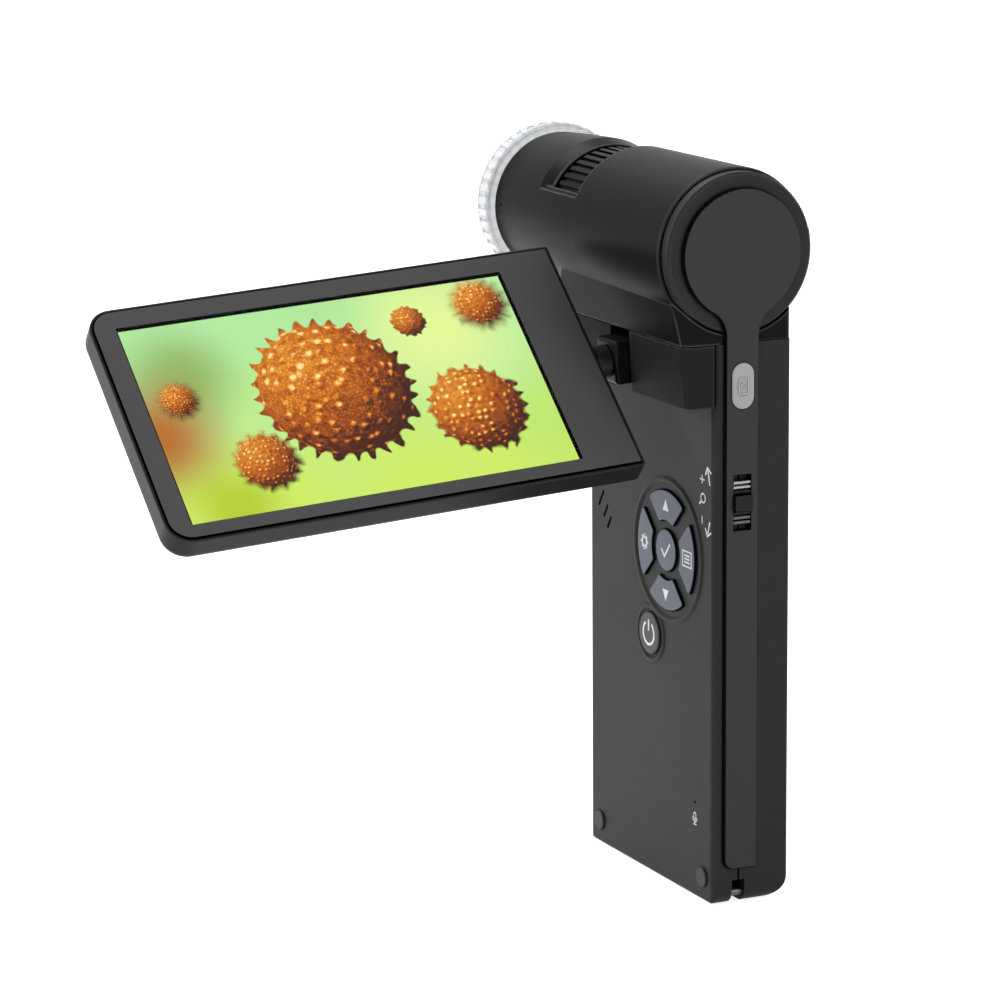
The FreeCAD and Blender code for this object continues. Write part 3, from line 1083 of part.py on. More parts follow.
def make_display_module():
    """The liquid crystal module: a lit face that stands up into the opening, on its frame."""
    face_top = FACE_N - WINDOW_RECESS - WINDOW_THICKNESS - 0.05
    frame_top = FACE_N - BEZEL_THICKNESS - SEATING
    face = block(DISPLAY_X0, DISPLAY_X1, DISPLAY_Y0, DISPLAY_Y1, frame_top, face_top)
    frame = block(DISPLAY_X0 - 4, DISPLAY_X1 + 1.5, DISPLAY_Y0 - 2.6, DISPLAY_Y1 + 2.6,
                  frame_top - 2.4, frame_top)
    return placed(face.fuse(frame), SCREEN_TURN)


def make_screen_board():
    """The driver board behind the display."""
    top = FACE_N - BEZEL_THICKNESS - SEATING - 2.4
    body = block(DISPLAY_X0 + SCREEN_BOARD_INSET, DISPLAY_X1 - SCREEN_BOARD_INSET,
                 DISPLAY_Y0 + SCREEN_BOARD_INSET / 2, DISPLAY_Y1 - SCREEN_BOARD_INSET / 2,
                 top - 1.0, top)
    return placed(body, SCREEN_TURN)


def export(name, shape):
    """Write one node, after a check that each of its solids is sound."""
    solids = shape.Solids
    for solid in solids:
        if not solid.isValid() or solid.Volume <= 0:
            raise ValueError("unsound solid in " + name)
    if len(solids) == 1:
        shape = solids[0]
    else:
        shape = Part.makeCompound(solids)
    shape.exportStep("parts/" + name + ".step")
    box = shape.BoundBox
    print("%-18s %d solid(s) %9.1f mm3  x %.1f..%.1f y %.1f..%.1f z %.1f..%.1f"
          % (name, len(solids), shape.Volume, box.XMin, box.XMax, box.YMin, box.YMax,
             box.ZMin, box.ZMax))


os.makedirs("parts", exist_ok=True)
export("front_casing", make_front_casing())
export("rear_casing", make_rear_casing())
export("casing_screws", make_casing_screws())
export("tripod_insert", make_tripod_insert())
export("usb_socket", make_usb_socket())
export("card_socket", make_card_socket())
export("left_bumper", make_bumper(-1))
export("right_bumper", make_bumper(1))
export("strap_bar", make_strap_bar())
export("head_housing", make_head_housing())
export("grub_screws", make_grub_screws())
export("lens_tube", make_lens_tube())
export("focus_wheel", make_focus_wheel())
export("lens_carriage", make_lens_carriage())
export("objective_lens", make_objective_lens())
export("front_glass", make_front_glass())
export("light_board", make_light_board())
export("light_diodes", make_light_diodes())
export("sensor_board", make_sensor_board())
export("clear_cap", make_clear_cap())
export("end_plate", make_end_plate())
export("brightness_dial", make_brightness_dial())
export("side_strip", make_side_strip())
export("shutter_button", make_shutter_button())
export("shutter_switch", make_shutter_switch())
export("zoom_slider", make_zoom_slider())
export("zoom_switch", make_zoom_switch())
export("side_board", make_side_board())
for key_name, key_turn in PAD_KEYS:
    export(key_name, make_pad_key(key_turn))
for key_name, key_x, key_z, key_radius in ROUND_KEYS:
    export(key_name, make_round_key(key_x, key_z, key_radius))
export("key_board", make_key_board())
export("main_board", make_main_board())
export("battery", make_battery())
export("speaker", make_speaker())
export("microphone", make_microphone())
export("hinge_housing", make_hinge_housing())
export("fold_pin", make_fold_pin())
export("hinge_knuckle", make_hinge_knuckle())
export("swivel_shaft", make_swivel_shaft())
export("screen_cover", make_screen_cover())
export("screen_bezel", make_screen_bezel())
export("screen_window", make_screen_window())
export("display_module", make_display_module())
export("screen_board", make_screen_board())
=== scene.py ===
import math

import bmesh
import bpy
import numpy as np
from mathutils import Matrix, Vector


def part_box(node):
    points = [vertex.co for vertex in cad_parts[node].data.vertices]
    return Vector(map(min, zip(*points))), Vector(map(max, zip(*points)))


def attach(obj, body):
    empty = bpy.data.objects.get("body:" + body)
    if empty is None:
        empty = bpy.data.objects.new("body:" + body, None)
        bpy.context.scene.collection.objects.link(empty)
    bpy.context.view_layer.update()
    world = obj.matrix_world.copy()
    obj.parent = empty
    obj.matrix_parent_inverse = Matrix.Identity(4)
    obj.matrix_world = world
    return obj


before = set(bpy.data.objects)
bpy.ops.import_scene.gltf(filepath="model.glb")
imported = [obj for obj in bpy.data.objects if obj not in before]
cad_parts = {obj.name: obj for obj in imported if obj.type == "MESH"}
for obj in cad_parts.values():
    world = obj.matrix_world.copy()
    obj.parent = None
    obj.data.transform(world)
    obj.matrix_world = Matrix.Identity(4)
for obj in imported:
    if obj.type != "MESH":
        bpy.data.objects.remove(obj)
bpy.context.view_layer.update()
scene = bpy.context.scene
scene.view_settings.view_transform = "Standard"

# The camera. It stands about 1.2 m off with a long lens, to the right of the keys
# and a little above them, and sees the narrow side strip and the tilted screen.
CAMERA_AZIMUTH = math.radians(64.764)
CAMERA_ELEVATION = math.radians(12.061)
CAMERA_ROLL = math.radians(-0.449)
CAMERA_PLACE = Vector((1.019607, -0.537936, 0.352129))
CAMERA_LENS_MM = 152.77

camera_back = Vector((math.sin(CAMERA_AZIMUTH) * math.cos(CAMERA_ELEVATION),
                      -math.cos(CAMERA_AZIMUTH) * math.cos(CAMERA_ELEVATION),
                      math.sin(CAMERA_ELEVATION)))
level_right = Vector((math.cos(CAMERA_AZIMUTH), math.sin(CAMERA_AZIMUTH), 0))
level_up = camera_back.cross(level_right)
camera_right = level_right * math.cos(CAMERA_ROLL) + level_up * math.sin(CAMERA_ROLL)
camera_up = level_up * math.cos(CAMERA_ROLL) - level_right * math.sin(CAMERA_ROLL)
camera = bpy.data.objects.new("camera", bpy.data.cameras.new("camera"))
camera.data.lens = CAMERA_LENS_MM
camera.data.clip_end = 20
turn = Matrix((camera_right, camera_up, camera_back)).transposed()
camera.matrix_world = Matrix.Translation(CAMERA_PLACE) @ turn.to_4x4()
scene.collection.objects.link(camera)
scene.camera = camera

# The studio: white all round for the camera, the gloss and the clear plastic, a little
# even light for the rest, and large soft lamps above, in front and at the side.
AMBIENT = 0.34
LAMPS = (
    ("top_lamp", (-0.65, -0.15, 1.25), (0.8, 0.8), 13.0),
    ("front_lamp", (-0.2, -1.3, 0.58), (0.6, 0.6), 8.5),
    ("side_lamp", (1.3, 0.55, 0.8), (0.7, 0.7), 8.5),
    ("rear_lamp", (-0.9, 1.2, 0.7), (0.8, 0.8), 6.0),
)
AIM = Vector((0, -0.03, 0.11))


def studio_rays(tree):
    """1 for rays from the camera, the gloss or clear plastic, and 0 for all others."""
    path = tree.nodes.new("ShaderNodeLightPath")
    either = tree.nodes.new("ShaderNodeMath")
    either.operation = "MAXIMUM"
    all_three = tree.nodes.new("ShaderNodeMath")
    all_three.operation = "MAXIMUM"
    tree.links.new(path.outputs["Is Camera Ray"], either.inputs[0])
    tree.links.new(path.outputs["Is Glossy Ray"], either.inputs[1])
    tree.links.new(either.outputs[0], all_three.inputs[0])
    tree.links.new(path.outputs["Is Transmission Ray"], all_three.inputs[1])
    return all_three.outputs[0]


world = bpy.data.worlds.new("studio")
scene.world = world
world.use_nodes = True
world.node_tree.nodes.clear()
level = world.node_tree.nodes.new("ShaderNodeMapRange")
level.inputs["To Min"].default_value = AMBIENT
level.inputs["To Max"].default_value = 1.0
world.node_tree.links.new(studio_rays(world.node_tree), level.inputs["Value"])
sky = world.node_tree.nodes.new("ShaderNodeBackground")
sky.inputs["Color"].default_value = (1, 1, 1, 1)
world.node_tree.links.new(level.outputs[0], sky.inputs["Strength"])
end = world.node_tree.nodes.new("ShaderNodeOutputWorld")
world.node_tree.links.new(sky.outputs[0], end.inputs["Surface"])

for name, place, size, watts in LAMPS:
    lamp = bpy.data.objects.new(name, bpy.data.lights.new(name, "AREA"))
    lamp.data.shape = "RECTANGLE"
    lamp.data.size, lamp.data.size_y = size
    lamp.data.energy = watts
    lamp.location = place
    lamp.rotation_mode = "QUATERNION"
    lamp.rotation_quaternion = (AIM - Vector(place)).to_track_quat("-Z", "Y")
    scene.collection.objects.link(lamp)

# The floor: a wide matt white board under the handle. It keeps the soft shadow, and
# a glow that only the camera, the gloss and clear plastic see keeps the rest white.
FLOOR_HALF = 6.0
FLOOR_WHITE = 0.8
FLOOR_GLOW = 0.76


def material(name):
    """A new node material: returns it with its tree and its main shader."""
    made = bpy.data.materials.new(name)
    made.use_nodes = True
    return made, made.node_tree, made.node_tree.nodes["Principled BSDF"]


floor_mesh = bpy.data.meshes.new("floor")
floor_mesh.from_pydata([(-FLOOR_HALF, -FLOOR_HALF, 0), (FLOOR_HALF, -FLOOR_HALF, 0),
                        (FLOOR_HALF, FLOOR_HALF, 0), (-FLOOR_HALF, FLOOR_HALF, 0)], [],
                       [(0, 1, 2, 3)])
floor = bpy.data.objects.new("floor", floor_mesh)
scene.collection.objects.link(floor)
floor_white, tree, shader = material("floor_white")
shader.inputs["Base Color"].default_value = (FLOOR_WHITE, FLOOR_WHITE, FLOOR_WHITE, 1)
shader.inputs["Roughness"].default_value = 0.9
shader.inputs["Specular IOR Level"].default_value = 0.0
shader.inputs["Emission Color"].default_value = (1, 1, 1, 1)
glow = tree.nodes.new("ShaderNodeMapRange")
glow.inputs["To Max"].default_value = FLOOR_GLOW
tree.links.new(studio_rays(tree), glow.inputs["Value"])
tree.links.new(glow.outputs[0], shader.inputs["Emission Strength"])
floor.data.materials.append(floor_white)

# The two casing halves: black plastic, injection moulded in a finely spark-eroded
# tool, with the boards inside, closed by four screws from the rear.
CASING_BLACK = (0.025, 0.025, 0.0253)
BLACK = (0, 0, 0, 1)
EDGE_RADIUS = 0.00022
EDGE_AGREES = 0.994
GAP_REACH = 0.001
GAP_SHUT, GAP_OPEN, GAP_LEAST = 0.45, 0.85, 0.03
SLOW_SCALE = 28
GLOSS_SPREAD = 0.03
SPLIT_Y, GROOVE_HALF, GROOVE_FADE = -0.004, 0.00022, 0.0001


def moulded(name, colour, roughness, grain=0.00025, relief=0.00001, drift=0.1, specular=0.16,
            edge=EDGE_RADIUS, edge_highlight=0.0, highlight_full=0.86):
    """Moulded plastic: fine grain, a slow drift in shade and gloss, edges that the tool
    leaves slightly round, which the Bevel node turns into soft highlights, and painted
    shade in narrow gaps, darker towards their bottom, from the Ambient Occlusion node.
    Edges get a painted highlight, paler as the dot product of the rounded normal and the
    face's own falls from EDGE_AGREES to the bound given last."""
    made, tree, shader = material(name)
    place = tree.nodes.new("ShaderNodeTexCoord")
    round_edge = tree.nodes.new("ShaderNodeBevel")
    round_edge.inputs["Radius"].default_value = edge
    fine = tree.nodes.new("ShaderNodeTexNoise")
    fine.inputs["Scale"].default_value = 1 / grain / 3
    fine.inputs["Detail"].default_value = 3
    tree.links.new(place.outputs["Object"], fine.inputs["Vector"])
    bump = tree.nodes.new("ShaderNodeBump")
    bump.inputs["Strength"].default_value = 0.3
    bump.inputs["Distance"].default_value = relief
    tree.links.new(fine.outputs["Fac"], bump.inputs["Height"])
    tree.links.new(round_edge.outputs["Normal"], bump.inputs["Normal"])
    tree.links.new(bump.outputs["Normal"], shader.inputs["Normal"])
    slow = tree.nodes.new("ShaderNodeTexNoise")
    slow.inputs["Scale"].default_value = SLOW_SCALE
    slow.inputs["Detail"].default_value = 4
    tree.links.new(place.outputs["Object"], slow.inputs["Vector"])
    shade = tree.nodes.new("ShaderNodeMix")
    shade.data_type = "RGBA"
    shade.inputs[6].default_value = (*[c * (1 - drift) for c in colour], 1)
    shade.inputs[7].default_value = (*[min(c * (1 + drift), 1) for c in colour], 1)
    tree.links.new(slow.outputs["Fac"], shade.inputs[0])
    face = tree.nodes.new("ShaderNodeNewGeometry")
    agree = tree.nodes.new("ShaderNodeVectorMath")
    agree.operation = "DOT_PRODUCT"
    tree.links.new(face.outputs["Normal"], agree.inputs[0])
    tree.links.new(round_edge.outputs["Normal"], agree.inputs[1])
    on_edge = tree.nodes.new("ShaderNodeMapRange")
    on_edge.inputs["From Min"].default_value = EDGE_AGREES
    on_edge.inputs["From Max"].default_value = highlight_full
    tree.links.new(agree.outputs["Value"], on_edge.inputs["Value"])
    # Painted highlight: the edges are drawn paler than the face.
    edge_highlighted = tree.nodes.new("ShaderNodeMix")
    edge_highlighted.data_type = "RGBA"
    edge_highlighted.inputs[7].default_value = (*[max(c + edge_highlight, 0) for c in colour], 1)
    tree.links.new(shade.outputs[2], edge_highlighted.inputs[6])
    tree.links.new(on_edge.outputs[0], edge_highlighted.inputs[0])
    # Painted shade: colour and sheen fall towards black in narrow gaps, where the Ambient
    # Occlusion node finds walls close by.
    open_sky = tree.nodes.new("ShaderNodeAmbientOcclusion")
    open_sky.samples = 4
    open_sky.inputs["Distance"].default_value = GAP_REACH
    in_gap = tree.nodes.new("ShaderNodeMapRange")
    in_gap.inputs["From Min"].default_value = GAP_SHUT
    in_gap.inputs["From Max"].default_value = GAP_OPEN
    in_gap.inputs["To Min"].default_value = GAP_LEAST
    tree.links.new(open_sky.outputs["AO"], in_gap.inputs["Value"])
    gap_shaded_colour = tree.nodes.new("ShaderNodeMix")
    gap_shaded_colour.name = "colour with painted gap shade"
    gap_shaded_colour.data_type = "RGBA"
    gap_shaded_colour.inputs[6].default_value = BLACK
    tree.links.new(edge_highlighted.outputs[2], gap_shaded_colour.inputs[7])
    tree.links.new(in_gap.outputs[0], gap_shaded_colour.inputs[0])
    tree.links.new(gap_shaded_colour.outputs[2], shader.inputs["Base Color"])
    sheen = tree.nodes.new("ShaderNodeMapRange")
    sheen.name = "sheen with painted gap shade"
    sheen.inputs["To Max"].default_value = specular
    tree.links.new(in_gap.outputs[0], sheen.inputs["Value"])
    tree.links.new(sheen.outputs[0], shader.inputs["Specular IOR Level"])
    gloss = tree.nodes.new("ShaderNodeMapRange")
    gloss.inputs["From Min"].default_value = 0.3
    gloss.inputs["From Max"].default_value = 0.7
    gloss.inputs["To Min"].default_value = roughness - GLOSS_SPREAD
    gloss.inputs["To Max"].default_value = roughness + GLOSS_SPREAD
    tree.links.new(slow.outputs["Fac"], gloss.inputs["Value"])
    tree.links.new(gloss.outputs[0], shader.inputs["Roughness"])
    return made


def dress(finish, *names):
    """Gives CAD nodes their finish and leaves their meshes as they are."""
    for name in names:
        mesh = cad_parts[name].data
        mesh.materials.clear()
        mesh.materials.append(finish)


def calc(operation, *values):
    """A Math node over sockets and numbers. This and the next six add their nodes to the
    tree that is being built, which tree holds."""
    node = tree.nodes.new("ShaderNodeMath")
    node.operation = operation
    for socket, value in zip(node.inputs, values):
        if isinstance(value, (int, float)):
            socket.default_value = value
        else:
            tree.links.new(value, socket)
    return node.outputs[0]


def vector_calc(operation, *values):
    """A Vector Math node over sockets, vectors and a scale."""
    node = tree.nodes.new("ShaderNodeVectorMath")
    node.operation = operation
    sockets = [node.inputs[0], node.inputs[3] if operation == "SCALE" else node.inputs[1]]
    for socket, value in zip(sockets, values):
        if isinstance(value, bpy.types.NodeSocket):
            tree.links.new(value, socket)
        else:
            socket.default_value = value
    return node.outputs["Value" if operation in ("DOT_PRODUCT", "LENGTH", "DISTANCE") else 0]


def ramp_between(value, low, high):
    """0 below low and 1 above high, with a smooth step between (or the reverse)."""
    node = tree.nodes.new("ShaderNodeMapRange")
    node.interpolation_type = "SMOOTHSTEP"
    tree.links.new(value, node.inputs["Value"])
    node.inputs["From Min"].default_value = min(low, high)
    node.inputs["From Max"].default_value = max(low, high)
    node.inputs["To Min"].default_value = 0.0 if low < high else 1.0
    node.inputs["To Max"].default_value = 1.0 if low < high else 0.0
    return node.outputs[0]


def blended(below, above, amount):
    """One colour laid over another by an amount."""
    node = tree.nodes.new("ShaderNodeMix")
    node.data_type = "RGBA"
    tree.links.new(amount, node.inputs[0])
    for socket, colour in ((node.inputs[6], below), (node.inputs[7], above)):
        if isinstance(colour, tuple):
            socket.default_value = colour
        else:
            tree.links.new(colour, socket)
    return node.outputs[2]


def axes_of(vector):
    """The three parts of a vector."""
    parts = tree.nodes.new("ShaderNodeSeparateXYZ")
    tree.links.new(vector, parts.inputs[0])
    return parts.outputs


def coordinates(kind="Object"):
    """The place of each point in its object's own frame, or another such vector."""
    return tree.nodes.new("ShaderNodeTexCoord").outputs[kind]


def dimmed(amount):
    """Paints shade: scales a moulding's colour and sheen, from black and dull at 0 to its
    own at 1.
    """
    shader = tree.nodes["Principled BSDF"]
    tree.links.new(blended(BLACK, tree.nodes["colour with painted gap shade"].outputs[2], amount),
                   shader.inputs["Base Color"])
    tree.links.new(calc("MULTIPLY", tree.nodes["sheen with painted gap shade"].outputs[0], amount),
                   shader.inputs["Specular IOR Level"])


# The groove between the two halves is drawn dark up to its edges, as painted shade.
casing_plastic = moulded("casing_plastic", CASING_BLACK, 0.42, specular=0.085, edge_highlight=0.05)
tree = casing_plastic.node_tree
from_groove = calc("ABSOLUTE", calc("SUBTRACT", axes_of(coordinates())[1], SPLIT_Y))
dimmed(ramp_between(from_groove, GROOVE_HALF, GROOVE_HALF + GROOVE_FADE))
dress(casing_plastic, "front_casing", "rear_casing")

# What the casing holds: green circuit boards on their posts, a wrapped cell, the
# sockets at the hidden side, and the brass bush for a tripod screw in the base.
STREAK_SCALE = 2500
STREAK_SPREAD = 0.08


def metal(name, colour, roughness):
    """Turned or stamped metal: fine streaks in its gloss."""
    made, tree, shader = material(name)
    place = tree.nodes.new("ShaderNodeTexCoord")
    streak = tree.nodes.new("ShaderNodeTexNoise")
    streak.inputs["Scale"].default_value = STREAK_SCALE
    tree.links.new(place.outputs["Object"], streak.inputs["Vector"])
    gloss = tree.nodes.new("ShaderNodeMapRange")
    gloss.inputs["To Min"].default_value = roughness - STREAK_SPREAD
    gloss.inputs["To Max"].default_value = roughness + STREAK_SPREAD
    tree.links.new(streak.outputs["Fac"], gloss.inputs["Value"])
    tree.links.new(gloss.outputs[0], shader.inputs["Roughness"])
    shader.inputs["Base Color"].default_value = (*colour, 1)
    shader.inputs["Metallic"].default_value = 1.0
    return made


dress(moulded("board_green", (0.01, 0.09, 0.035), 0.35),
      "main_board", "key_board", "side_board", "sensor_board", "light_board", "screen_board")
dress(moulded("cell_wrap", (0.2, 0.22, 0.25), 0.35), "battery")
dress(moulded("switch_plastic", (0.01, 0.01, 0.01), 0.5),
      "shutter_switch", "zoom_switch", "speaker")
dress(metal("bright_steel", (0.62, 0.62, 0.62), 0.28), "usb_socket", "card_socket", "microphone")
dress(metal("brass", (0.62, 0.44, 0.16), 0.28), "tripod_insert")
dress(metal("screw_steel", (0.3, 0.3, 0.31), 0.35), "casing_screws")

# The strap bar: a blackened steel pin across the notch at the lower corner, for a cord
# loop. Its ends sit in holes in the two casing halves.
dress(metal("bar_steel", (0.10, 0.10, 0.103), 0.4), "strap_bar")

# The two round stops at the foot: soft black rubber, pressed into shallow pockets,
# where the closed screen comes to rest.
dress(moulded("bumper_rubber", (0.04, 0.04, 0.04), 0.6, specular=0.32),
      "left_bumper", "right_bumper")

# The keys: soft slate blue-grey rubber in the four-way pad and dark grey on the power
# key, one moulding each, pushed up through the front wall from the board behind.
SLATE = (0.115, 0.130, 0.163)
POWER_GREY = (0.062, 0.062, 0.063)
RIM_DARK, RIM_PLAIN = 0.82, 0.966


def rim_shaded(facing, share):
    """Paints shade on a moulding's rim: dims it down to a share of its colour and sheen,
    as the dot product of its surface's normal and the way that it faces falls from
    RIM_PLAIN to RIM_DARK."""
    facing_part = ramp_between(vector_calc("DOT_PRODUCT", coordinates("Normal"), Vector(facing)),
                               RIM_DARK, RIM_PLAIN)
    dimmed(calc("ADD", calc("MULTIPLY", facing_part, 1.0 - share), share))


key_rubber = moulded("key_rubber", SLATE, 0.5, grain=0.00018, drift=0.05, specular=0.3)
tree = key_rubber.node_tree
# Painted shade: the keys' side walls are drawn near black, as the gaps round them fall dark.
rim_shaded((0, -1, 0), 0.05)
dress(key_rubber, "up_key", "right_key", "down_key", "left_key", "ok_key")
dress(moulded("power_key_rubber", POWER_GREY, 0.55, drift=0.06, specular=0.3, edge_highlight=0.06),
      "power_key")

# The marks on the keys and beside the slider: white ink, pad printed, a few hundredths
# of a millimetre thick. They are plain signs: arrows, a gear, a list, a tick, a power sign.
INK_THICKNESS = 0.04
INK_ROOT = 0.02
KEY_TOP_Y = 1000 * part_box("ok_key")[0][1]
CASING_FRONT_Y = -11.5
INK_THIN, INK_FULL = (0.7, 0.71, 0.73, 1), (0.9, 0.91, 0.92, 1)
INK_SCALE = 6000
ink_white, tree, shader = material("ink_white")
place = tree.nodes.new("ShaderNodeTexCoord")
cover = tree.nodes.new("ShaderNodeTexNoise")
cover.inputs["Scale"].default_value = INK_SCALE
tree.links.new(place.outputs["Object"], cover.inputs["Vector"])
shade = tree.nodes.new("ShaderNodeMix")
shade.data_type = "RGBA"
shade.inputs[6].default_value = INK_THIN
shade.inputs[7].default_value = INK_FULL
tree.links.new(cover.outputs["Fac"], shade.inputs[0])
tree.links.new(shade.outputs[2], shader.inputs["Base Color"])
shader.inputs["Roughness"].default_value = 0.5


def line(points, width, closed=False):
    """A stroke of ink. Each point of the path is moved by half the width along the
    mean of its two segments' normals, over one plus their dot product, which keeps the
    width at corners. Returns the left and right sides as one (n, 2, 2) array."""
    path = np.asarray(points, float)
    ahead = np.roll(path, -1, 0) - path
    ahead /= np.maximum(np.linalg.norm(ahead, axis=1, keepdims=True), 1e-9)
    if not closed:
        ahead[-1] = ahead[-2]
    behind = np.roll(ahead, 1, 0)
    if not closed:
        behind[0] = ahead[0]
    normal_a = np.stack((-ahead[:, 1], ahead[:, 0]), 1)
    normal_b = np.stack((-behind[:, 1], behind[:, 0]), 1)
    out = (normal_a + normal_b) / (1 + np.sum(normal_a * normal_b, 1, keepdims=True))
    return np.stack((path + out * width / 2, path - out * width / 2), 1), closed


def arc(centre, radius, start, stop, count=33):
    """Points of an arc: centre plus radius times (sin a, cos a), a clockwise from the top."""
    angle = np.radians(np.linspace(start, stop, count))
    return np.stack((centre[0] + radius * np.sin(angle),
                     centre[1] + radius * np.cos(angle)), 1)


def ring(centre, radius, count=40):
    """The points of a whole circle, the last one left out."""
    return arc(centre, radius, 0, 360, count + 1)[:-1]


def printed(name, body, finish, place, strokes=(), fills=(), height=INK_THICKNESS):
    """A raised print: each stroke is a rectangle carried along its path, and each fill a
    straight-sided plate, both from just inside the surface up to the print's height.
    place turns plane coordinates and a height, all in mm, into the object's own frame."""
    corners, faces, base = [], [], 0
    for sides, closed in strokes:
        count = len(sides)
        flat = np.concatenate((sides[:, [0, 1]], sides[:, [1, 0]]), 1)
        rise = np.tile([height, height, -INK_ROOT, -INK_ROOT], (count, 1))
        corners.append(place(flat[:, :, 0], flat[:, :, 1], rise).reshape(-1, 3))
        step = np.arange(count if closed else count - 1)[:, None]
        side = np.arange(4)[None, :]
        here, after = base + 4 * step, base + 4 * ((step + 1) % count)
        following = (side + 1) % 4
        quads = np.stack((here + side, after + side, after + following, here + following), 2)
        faces += quads.reshape(-1, 4).tolist()
        if not closed:
            faces += [[base + 3, base + 2, base + 1, base],
                      [base + 4 * count - 4 + k for k in range(4)]]
        base += 4 * count
    for outline in fills:
        outline = np.asarray(outline, float)
        count = len(outline)
        both = np.concatenate((outline, outline))
        rise = np.repeat([height, -INK_ROOT], count)
        corners.append(place(both[:, 0], both[:, 1], rise))
        faces += [list(range(base, base + count)),
                  list(range(base + 2 * count - 1, base + count - 1, -1))]
        k = np.arange(count)
        after = (k + 1) % count
        sides = (base + k, base + count + k, base + count + after, base + after)
        faces += np.stack(sides, 1).tolist()
        base += 2 * count
    mesh = bpy.data.meshes.new(name)
    mesh.from_pydata((np.concatenate(corners) / 1000).tolist(), [], faces)
    shell = bmesh.new()
    shell.from_mesh(mesh)
    bmesh.ops.recalc_face_normals(shell, faces=shell.faces)
    shell.to_mesh(mesh)
    shell.free()
    mesh.materials.append(finish)
    made = bpy.data.objects.new(name, mesh)
    scene.collection.objects.link(made)
    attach(made, body)
    return made


def on_key(across, up, rise):
    """On the keys' tops, which face -Y."""
    return np.stack((across, KEY_TOP_Y - rise, up), -1)


def on_casing(across, up, rise):
    """On the casing's broad front, which faces -Y."""
    return np.stack((across, CASING_FRONT_Y - rise, up), -1)


PAD_CENTRE = (10.8, 94.8)
KEY_REACH = 12.6
POWER_CENTRE = (0.6, 69.2)
ARROW_AHEAD, ARROW_BEHIND, ARROW_HALF = 1.7, 1.5, 1.75
GEAR_RADIUS, TOOTH_FOOT, TOOTH_TIP = 1.35, 1.45, 2.2
LIST_HALF_WIDTH, LIST_HALF_HEIGHT, ROW_HALF_WIDTH = 2.5, 2.1, 1.45
LIST_ROWS = (0.95, 0.0, -0.95)
for name, way in (("up", 1), ("down", -1)):
    tip = (PAD_CENTRE[0], PAD_CENTRE[1] + way * (KEY_REACH + ARROW_AHEAD))
    foot = PAD_CENTRE[1] + way * (KEY_REACH - ARROW_BEHIND)
    printed(name + "_arrow", name + "_key", ink_white, on_key,
            fills=[[tip, (tip[0] + way * ARROW_HALF, foot), (tip[0] - way * ARROW_HALF, foot)]])

gear_centre = (PAD_CENTRE[0] - KEY_REACH, PAD_CENTRE[1])
teeth = [line([(gear_centre[0] + reach * math.sin(a), gear_centre[1] + reach * math.cos(a))
               for reach in (TOOTH_FOOT, TOOTH_TIP)], 0.8)
         for a in np.radians(np.arange(0, 360, 45))]
printed("gear_sign", "left_key", ink_white, on_key,
        [line(ring(gear_centre, GEAR_RADIUS), 0.75, True)] + teeth)

list_x, list_z = PAD_CENTRE[0] + KEY_REACH, PAD_CENTRE[1]
frame_corners = [(list_x + across * LIST_HALF_WIDTH, list_z + up * LIST_HALF_HEIGHT)
                 for across, up in ((-1, -1), (1, -1), (1, 1), (-1, 1))]
list_rows = [[(list_x - ROW_HALF_WIDTH, list_z + row), (list_x + ROW_HALF_WIDTH, list_z + row)]
             for row in LIST_ROWS]
printed("list_sign", "right_key", ink_white, on_key,
        [line(frame_corners, 0.45, True)] + [line(points, 0.5) for points in list_rows])
tick = [(PAD_CENTRE[0] + across, PAD_CENTRE[1] + up)
        for across, up in ((-2.5, 0.1), (-0.7, -1.8), (2.6, 2.1))]
printed("tick_sign", "ok_key", ink_white, on_key, [line(tick, 0.62)])
printed("power_sign", "power_key", ink_white, on_key,
        [line(arc(POWER_CENTRE, 3.2, 32, 328, 49), 0.72),
         line([(POWER_CENTRE[0], POWER_CENTRE[1] + up) for up in (0.7, 3.9)], 0.72)])

# The zoom slider's legend on the broad face, and a small sign under the sound hole.
LEGEND_X = 30.6
FINE_STROKE, HEAD_STROKE, SHAFT_STROKE = 0.42, 0.48, 0.5
plus_and_minus = [[(LEGEND_X - 1.3, 118.3), (LEGEND_X + 1.3, 118.3)],
                  [(LEGEND_X, 117.2), (LEGEND_X, 119.5)],
                  [(LEGEND_X, 106.1), (LEGEND_X, 108.2)]]
magnifier_lens = ring((LEGEND_X + 0.5, 113.2), 1.25, 28)
magnifier_grip = [(LEGEND_X - 0.5, 112.2), (LEGEND_X - 1.7, 111.3)]
arrow_shafts = [[(35.0, 117.3), (33.9, 121.2)], [(35.0, 107.3), (33.9, 103.9)]]
arrow_heads = [[(32.5, 119.8), (33.6, 122.0), (35.7, 120.7)],
               [(32.5, 105.3), (33.6, 103.1), (35.7, 104.4)]]
printed("zoom_legend", "handle", ink_white, on_casing,
        [line(points, FINE_STROKE) for points in plus_and_minus]
        + [line(magnifier_lens, FINE_STROKE, True)]
        + [line(points, SHAFT_STROKE) for points in [magnifier_grip] + arrow_shafts]
        + [line(points, HEAD_STROKE) for points in arrow_heads])
SOUND_X, SOUND_Z = 26.8, 22.6
printed("sound_sign", "handle", ink_white, on_casing,
        [line(np.concatenate((arc((SOUND_X, SOUND_Z + 0.9), 0.62, -90, 90, 9),
                              arc((SOUND_X, SOUND_Z + 0.1), 0.62, 90, 270, 9))), 0.3, True),
         line(arc((SOUND_X, SOUND_Z + 0.1), 1.25, 90, 270, 15), 0.3),
         line([(SOUND_X, SOUND_Z - 1.2), (SOUND_X, SOUND_Z - 1.9)], 0.3),
         line([(SOUND_X - 0.9, SOUND_Z - 1.9), (SOUND_X + 0.9, SOUND_Z - 1.9)], 0.3)])

